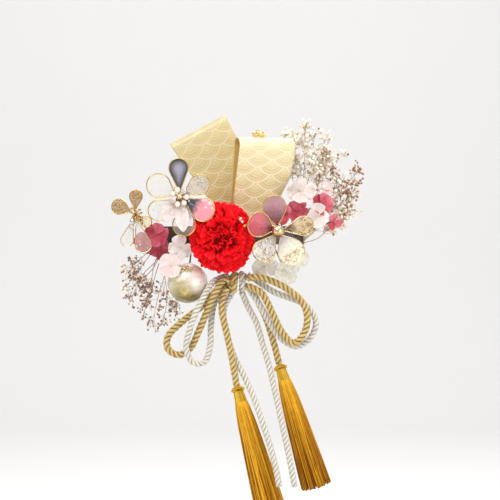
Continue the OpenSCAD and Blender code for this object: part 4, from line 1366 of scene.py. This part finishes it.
def add_crumple(form, at, size, seed, slot=0, shape=(1, 1, 1)):
    """A crumpled bit of foil: a ball of a few sharp folds."""
    d = ball_points(9, 12)
    r = size * (1 + 0.55 * noise_at(d, 2.3, seed) + 0.35 * noise_at(d, 5.0, seed + 3))
    form.add_rings(np.asarray(at) + d * r[..., None] * np.asarray(shape), d, slot=slot, flip=True)


LEAF_AT = np.array([18, -17.5, 74.2])
# Bits of the leaf: x, z and size; bits on the chrysanthemum: pixel of the photograph and size
LEAF_BITS = [(-2.6, 1.7, 2.4), (1.9, 1.3, 2.4), (-0.4, 3.1, 1.7), (4.0, 0.9, 1.6)]
MUM_BITS = [(241.5, 219.5, 1.3), (243.5, 222, 1.0), (246, 226, 0.9), (248.5, 225, 0.7)]


def make_gold_leaf():
    form = Form()
    for k, (x, z, size) in enumerate(LEAF_BITS):
        add_crumple(form, LEAF_AT + [x, 0, z], size, 1.7 * k + 2, shape=(1.1, 0.8, 0.9))
    piece(form, "gold_leaf_bits", [LEAF_GOLD], ["gold_leaf"], smooth=False)
    form = Form()
    for k, (px, py, size) in enumerate(MUM_BITS):
        way = unit(at_pixel(px, py, -50) - MUM_AT)
        spot = MUM_AT + way * (MUM_R + 0.2) * [1, 1, MUM_TALL]
        add_crumple(form, spot, size, 3.1 * k, slot=0 if k < 2 else 1)
    piece(form, "foil_on_mum", [FLAKE_PALE, FLAKE_GOLD], smooth=False)


# Gypsophila: the tip of each stem, and its share of cream buds

SPRIGS_RIGHT = [
    (37, 3, 76, 1.0), (44, 2, 80, 1.0), (53, 0, 82, 0.95), (60, -5, 77, 0.95), (68, 2, 74, 0.8),
    (72, -3, 64, 0.7), (80, 5, 61, 0.4), (95, 8, 50, 0.0), (84, 1, 44, 0.5), (90, 15, 33, 0.5),
    (91, 18, 21, 0.7), (83, 17, 10, 0.8),
]
SPRIGS_LEFT = [
    (-84, 4, -28, 0.35), (-86, 7, -42, 0.25), (-76, 1, -42, 0.2), (-81, 4, -53, 0.1), (-72, 7, -55, 0.25),
    (-72, -1, -65, 0.1), (-63, 2, -70, 0.1), (-55, -3, -66, 0.1), (-45, -3, -61, 0.15),
]
# Radii of a stem at its foot and tip, of a twig and of a bud's stalk
MAIN_R, TWIG_R, STALK_R = (0.42, 0.2), 0.16, 0.12


def add_bud(form, at, pale, draw):
    """A cream bud, or a smaller dark one in the second material."""
    size = draw.uniform(0.95, 1.4) if pale else draw.uniform(0.55, 0.95)
    rows, cols, bumps = (7, 9, 0.06) if pale else (6, 7, 0.1)
    add_ball(form, at, size, rows, cols, 0 if pale else 1, draw.uniform(0.1, 1.0), (1, 1, 1.05), bumps,
             int(draw.integers(0, 9999)))


def add_twig(form, knot, ahead, share, cream, stem, draw):
    """A twig that forks into fine stalks with a bud on each; gives the number of buds."""
    spread = unit(ahead * 0.8 + draw.normal(0, 0.55, 3) * [1, 0.6, 1])
    fork = knot + spread * (draw.uniform(4, 11) * (1.15 - 0.65 * share))
    bent = smooth_path([knot, (knot + fork) / 2 + draw.normal(0, 0.5, 3), fork], 1.5)
    add_tube(form, bent, TWIG_R, 4, stem, draw.uniform(0.2, 0.9))
    count = draw.integers(2, 5)
    for _ in range(count):
        end = fork + unit(spread + draw.normal(0, 0.6, 3)) * draw.uniform(1.5, 4.2)
        stalk = [fork, (fork + end) / 2 + draw.normal(0, 0.15, 3), end]
        add_tube(form, stalk, STALK_R, 4, stem, draw.uniform(0.2, 0.9))
        add_bud(form, end, draw.uniform() < cream, draw)
    return count


def make_gypsophila(node, sprigs, feet, dark, buds_each, seed):
    """A spray: stems from their feet on the bar to their tips, each with its twigs and buds."""
    draw = np.random.default_rng(seed)
    form = Form()
    for foot, (*tip, cream) in zip(feet, sprigs):
        tip = np.array(tip, float)
        side = unit(np.cross(tip - foot, (0, 1, 0)))
        bow = draw.normal(0, 0.03) * np.linalg.norm(tip - foot) * side
        main = smooth_path([foot, lerp(foot, tip, 0.35) + bow, lerp(foot, tip, 0.7) - 0.5 * bow, tip], 2.0)
        stem = 3 if cream > 0.5 else 2
        add_tube(form, main, np.linspace(*MAIN_R, len(main)), 5, stem, draw.uniform(0.2, 0.8))
        made = 0
        while made < buds_each:
            share = draw.uniform(0.42, 1.0) ** 0.8
            knot = main[int(share * (len(main) - 1))]
            made += add_twig(form, knot, unit(tip - foot), share, cream, stem, draw)
    piece(form, node + "_spray", [BUD_CREAM, dark, STEM_BROWN, STEM_PALE], [node])


# Floor, backdrop and light: metres here

FLOOR_Z = -0.30
BACK_Y = 1.7
BACK_TOP = 2.6
BACK_BEND = 0.35
BACK_HALF = 3.0


def make_stage():
    """A sheet of paper that curves from the floor up into the backdrop."""
    look = Look("stage_paper", Roughness=0.9, Specular_IOR_Level=0.1)
    look.paint(look.mix(look.noise(3.0), "#F4F3F2", "#F7F6F5"))
    turn = np.linspace(0, np.pi / 2, 16)
    bend = joined(BACK_Y - BACK_BEND * (1 - np.sin(turn)), FLOOR_Z + BACK_BEND * (1 - np.cos(turn)))
    line = np.vstack([[-2.5, FLOOR_Z], bend, [BACK_Y, BACK_TOP]])
    points = np.array([[[x, y, z] for x in (-BACK_HALF, BACK_HALF)] for y, z in line]) / MM
    form = Form()
    form.add(points, grid_faces(len(line), 2))
    form.make("backdrop", [look.material])


# Lights: name, place, target, size, power, color
LIGHTS = [
    ("key", (-0.45, -0.9, 0.95), (0, 0, -0.03), 0.7, 9.5, (1, 0.985, 0.96)),
    ("top", (0.25, -0.35, 1.0), (0.02, 0, 0.03), 0.45, 3.5, (1, 1, 1)),
    ("fill", (0.9, -0.9, 0.1), (0, 0, -0.05), 0.9, 3.2, (1, 1, 1)),
    ("back", (0.2, 0.55, 0.8), (0, 0, 0), 0.6, 3.0, (1, 1, 1)),
    ("backdrop_wash", (0, 0.8, 1.5), (0, 1.7, 0.1), 1.0, 4.0, (1, 1, 1)),
]
WORLD_STRENGTH = 0.6


def make_lights():
    for name, at, target, size, power, color in LIGHTS:
        data = bpy.data.lights.new(name, "AREA")
        data.shape = "DISK"
        data.size = size
        data.energy = power
        data.color = color
        light = bpy.data.objects.new(name, data)
        light.location = at
        light.rotation_euler = (Vector(target) - Vector(at)).to_track_quat("-Z", "Y").to_euler()
        bpy.context.collection.objects.link(light)
    world = bpy.data.worlds.new("studio")
    world.use_nodes = True
    world.node_tree.nodes["Background"].inputs[0].default_value = (1, 1, 1, 1)
    world.node_tree.nodes["Background"].inputs[1].default_value = WORLD_STRENGTH
    bpy.context.scene.world = world
    bpy.context.scene.view_settings.view_transform = "Standard"


make_camera()
make_cords()
make_knot()
make_tassels()
make_ribbons()
make_mum()
make_wire_flowers()
make_beads()
make_milky_petals()
make_florets()
make_gold_ball()
make_gold_leaf()
make_gypsophila("gypsophila_left", SPRIGS_LEFT, [seat(-38.5 + 1.05 * i, -5.5, 0.65) for i in range(9)],
                BUD_BROWN, 42, 11)
make_gypsophila("gypsophila_right", SPRIGS_RIGHT, [seat(33, 6.3 - 1.12 * i, 0.65) for i in range(12)],
                BUD_COPPER, 86, 12)
for material_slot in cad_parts["pin_frame"].material_slots:
    material_slot.material = PIN_LACQUER
make_stage()
make_lights()
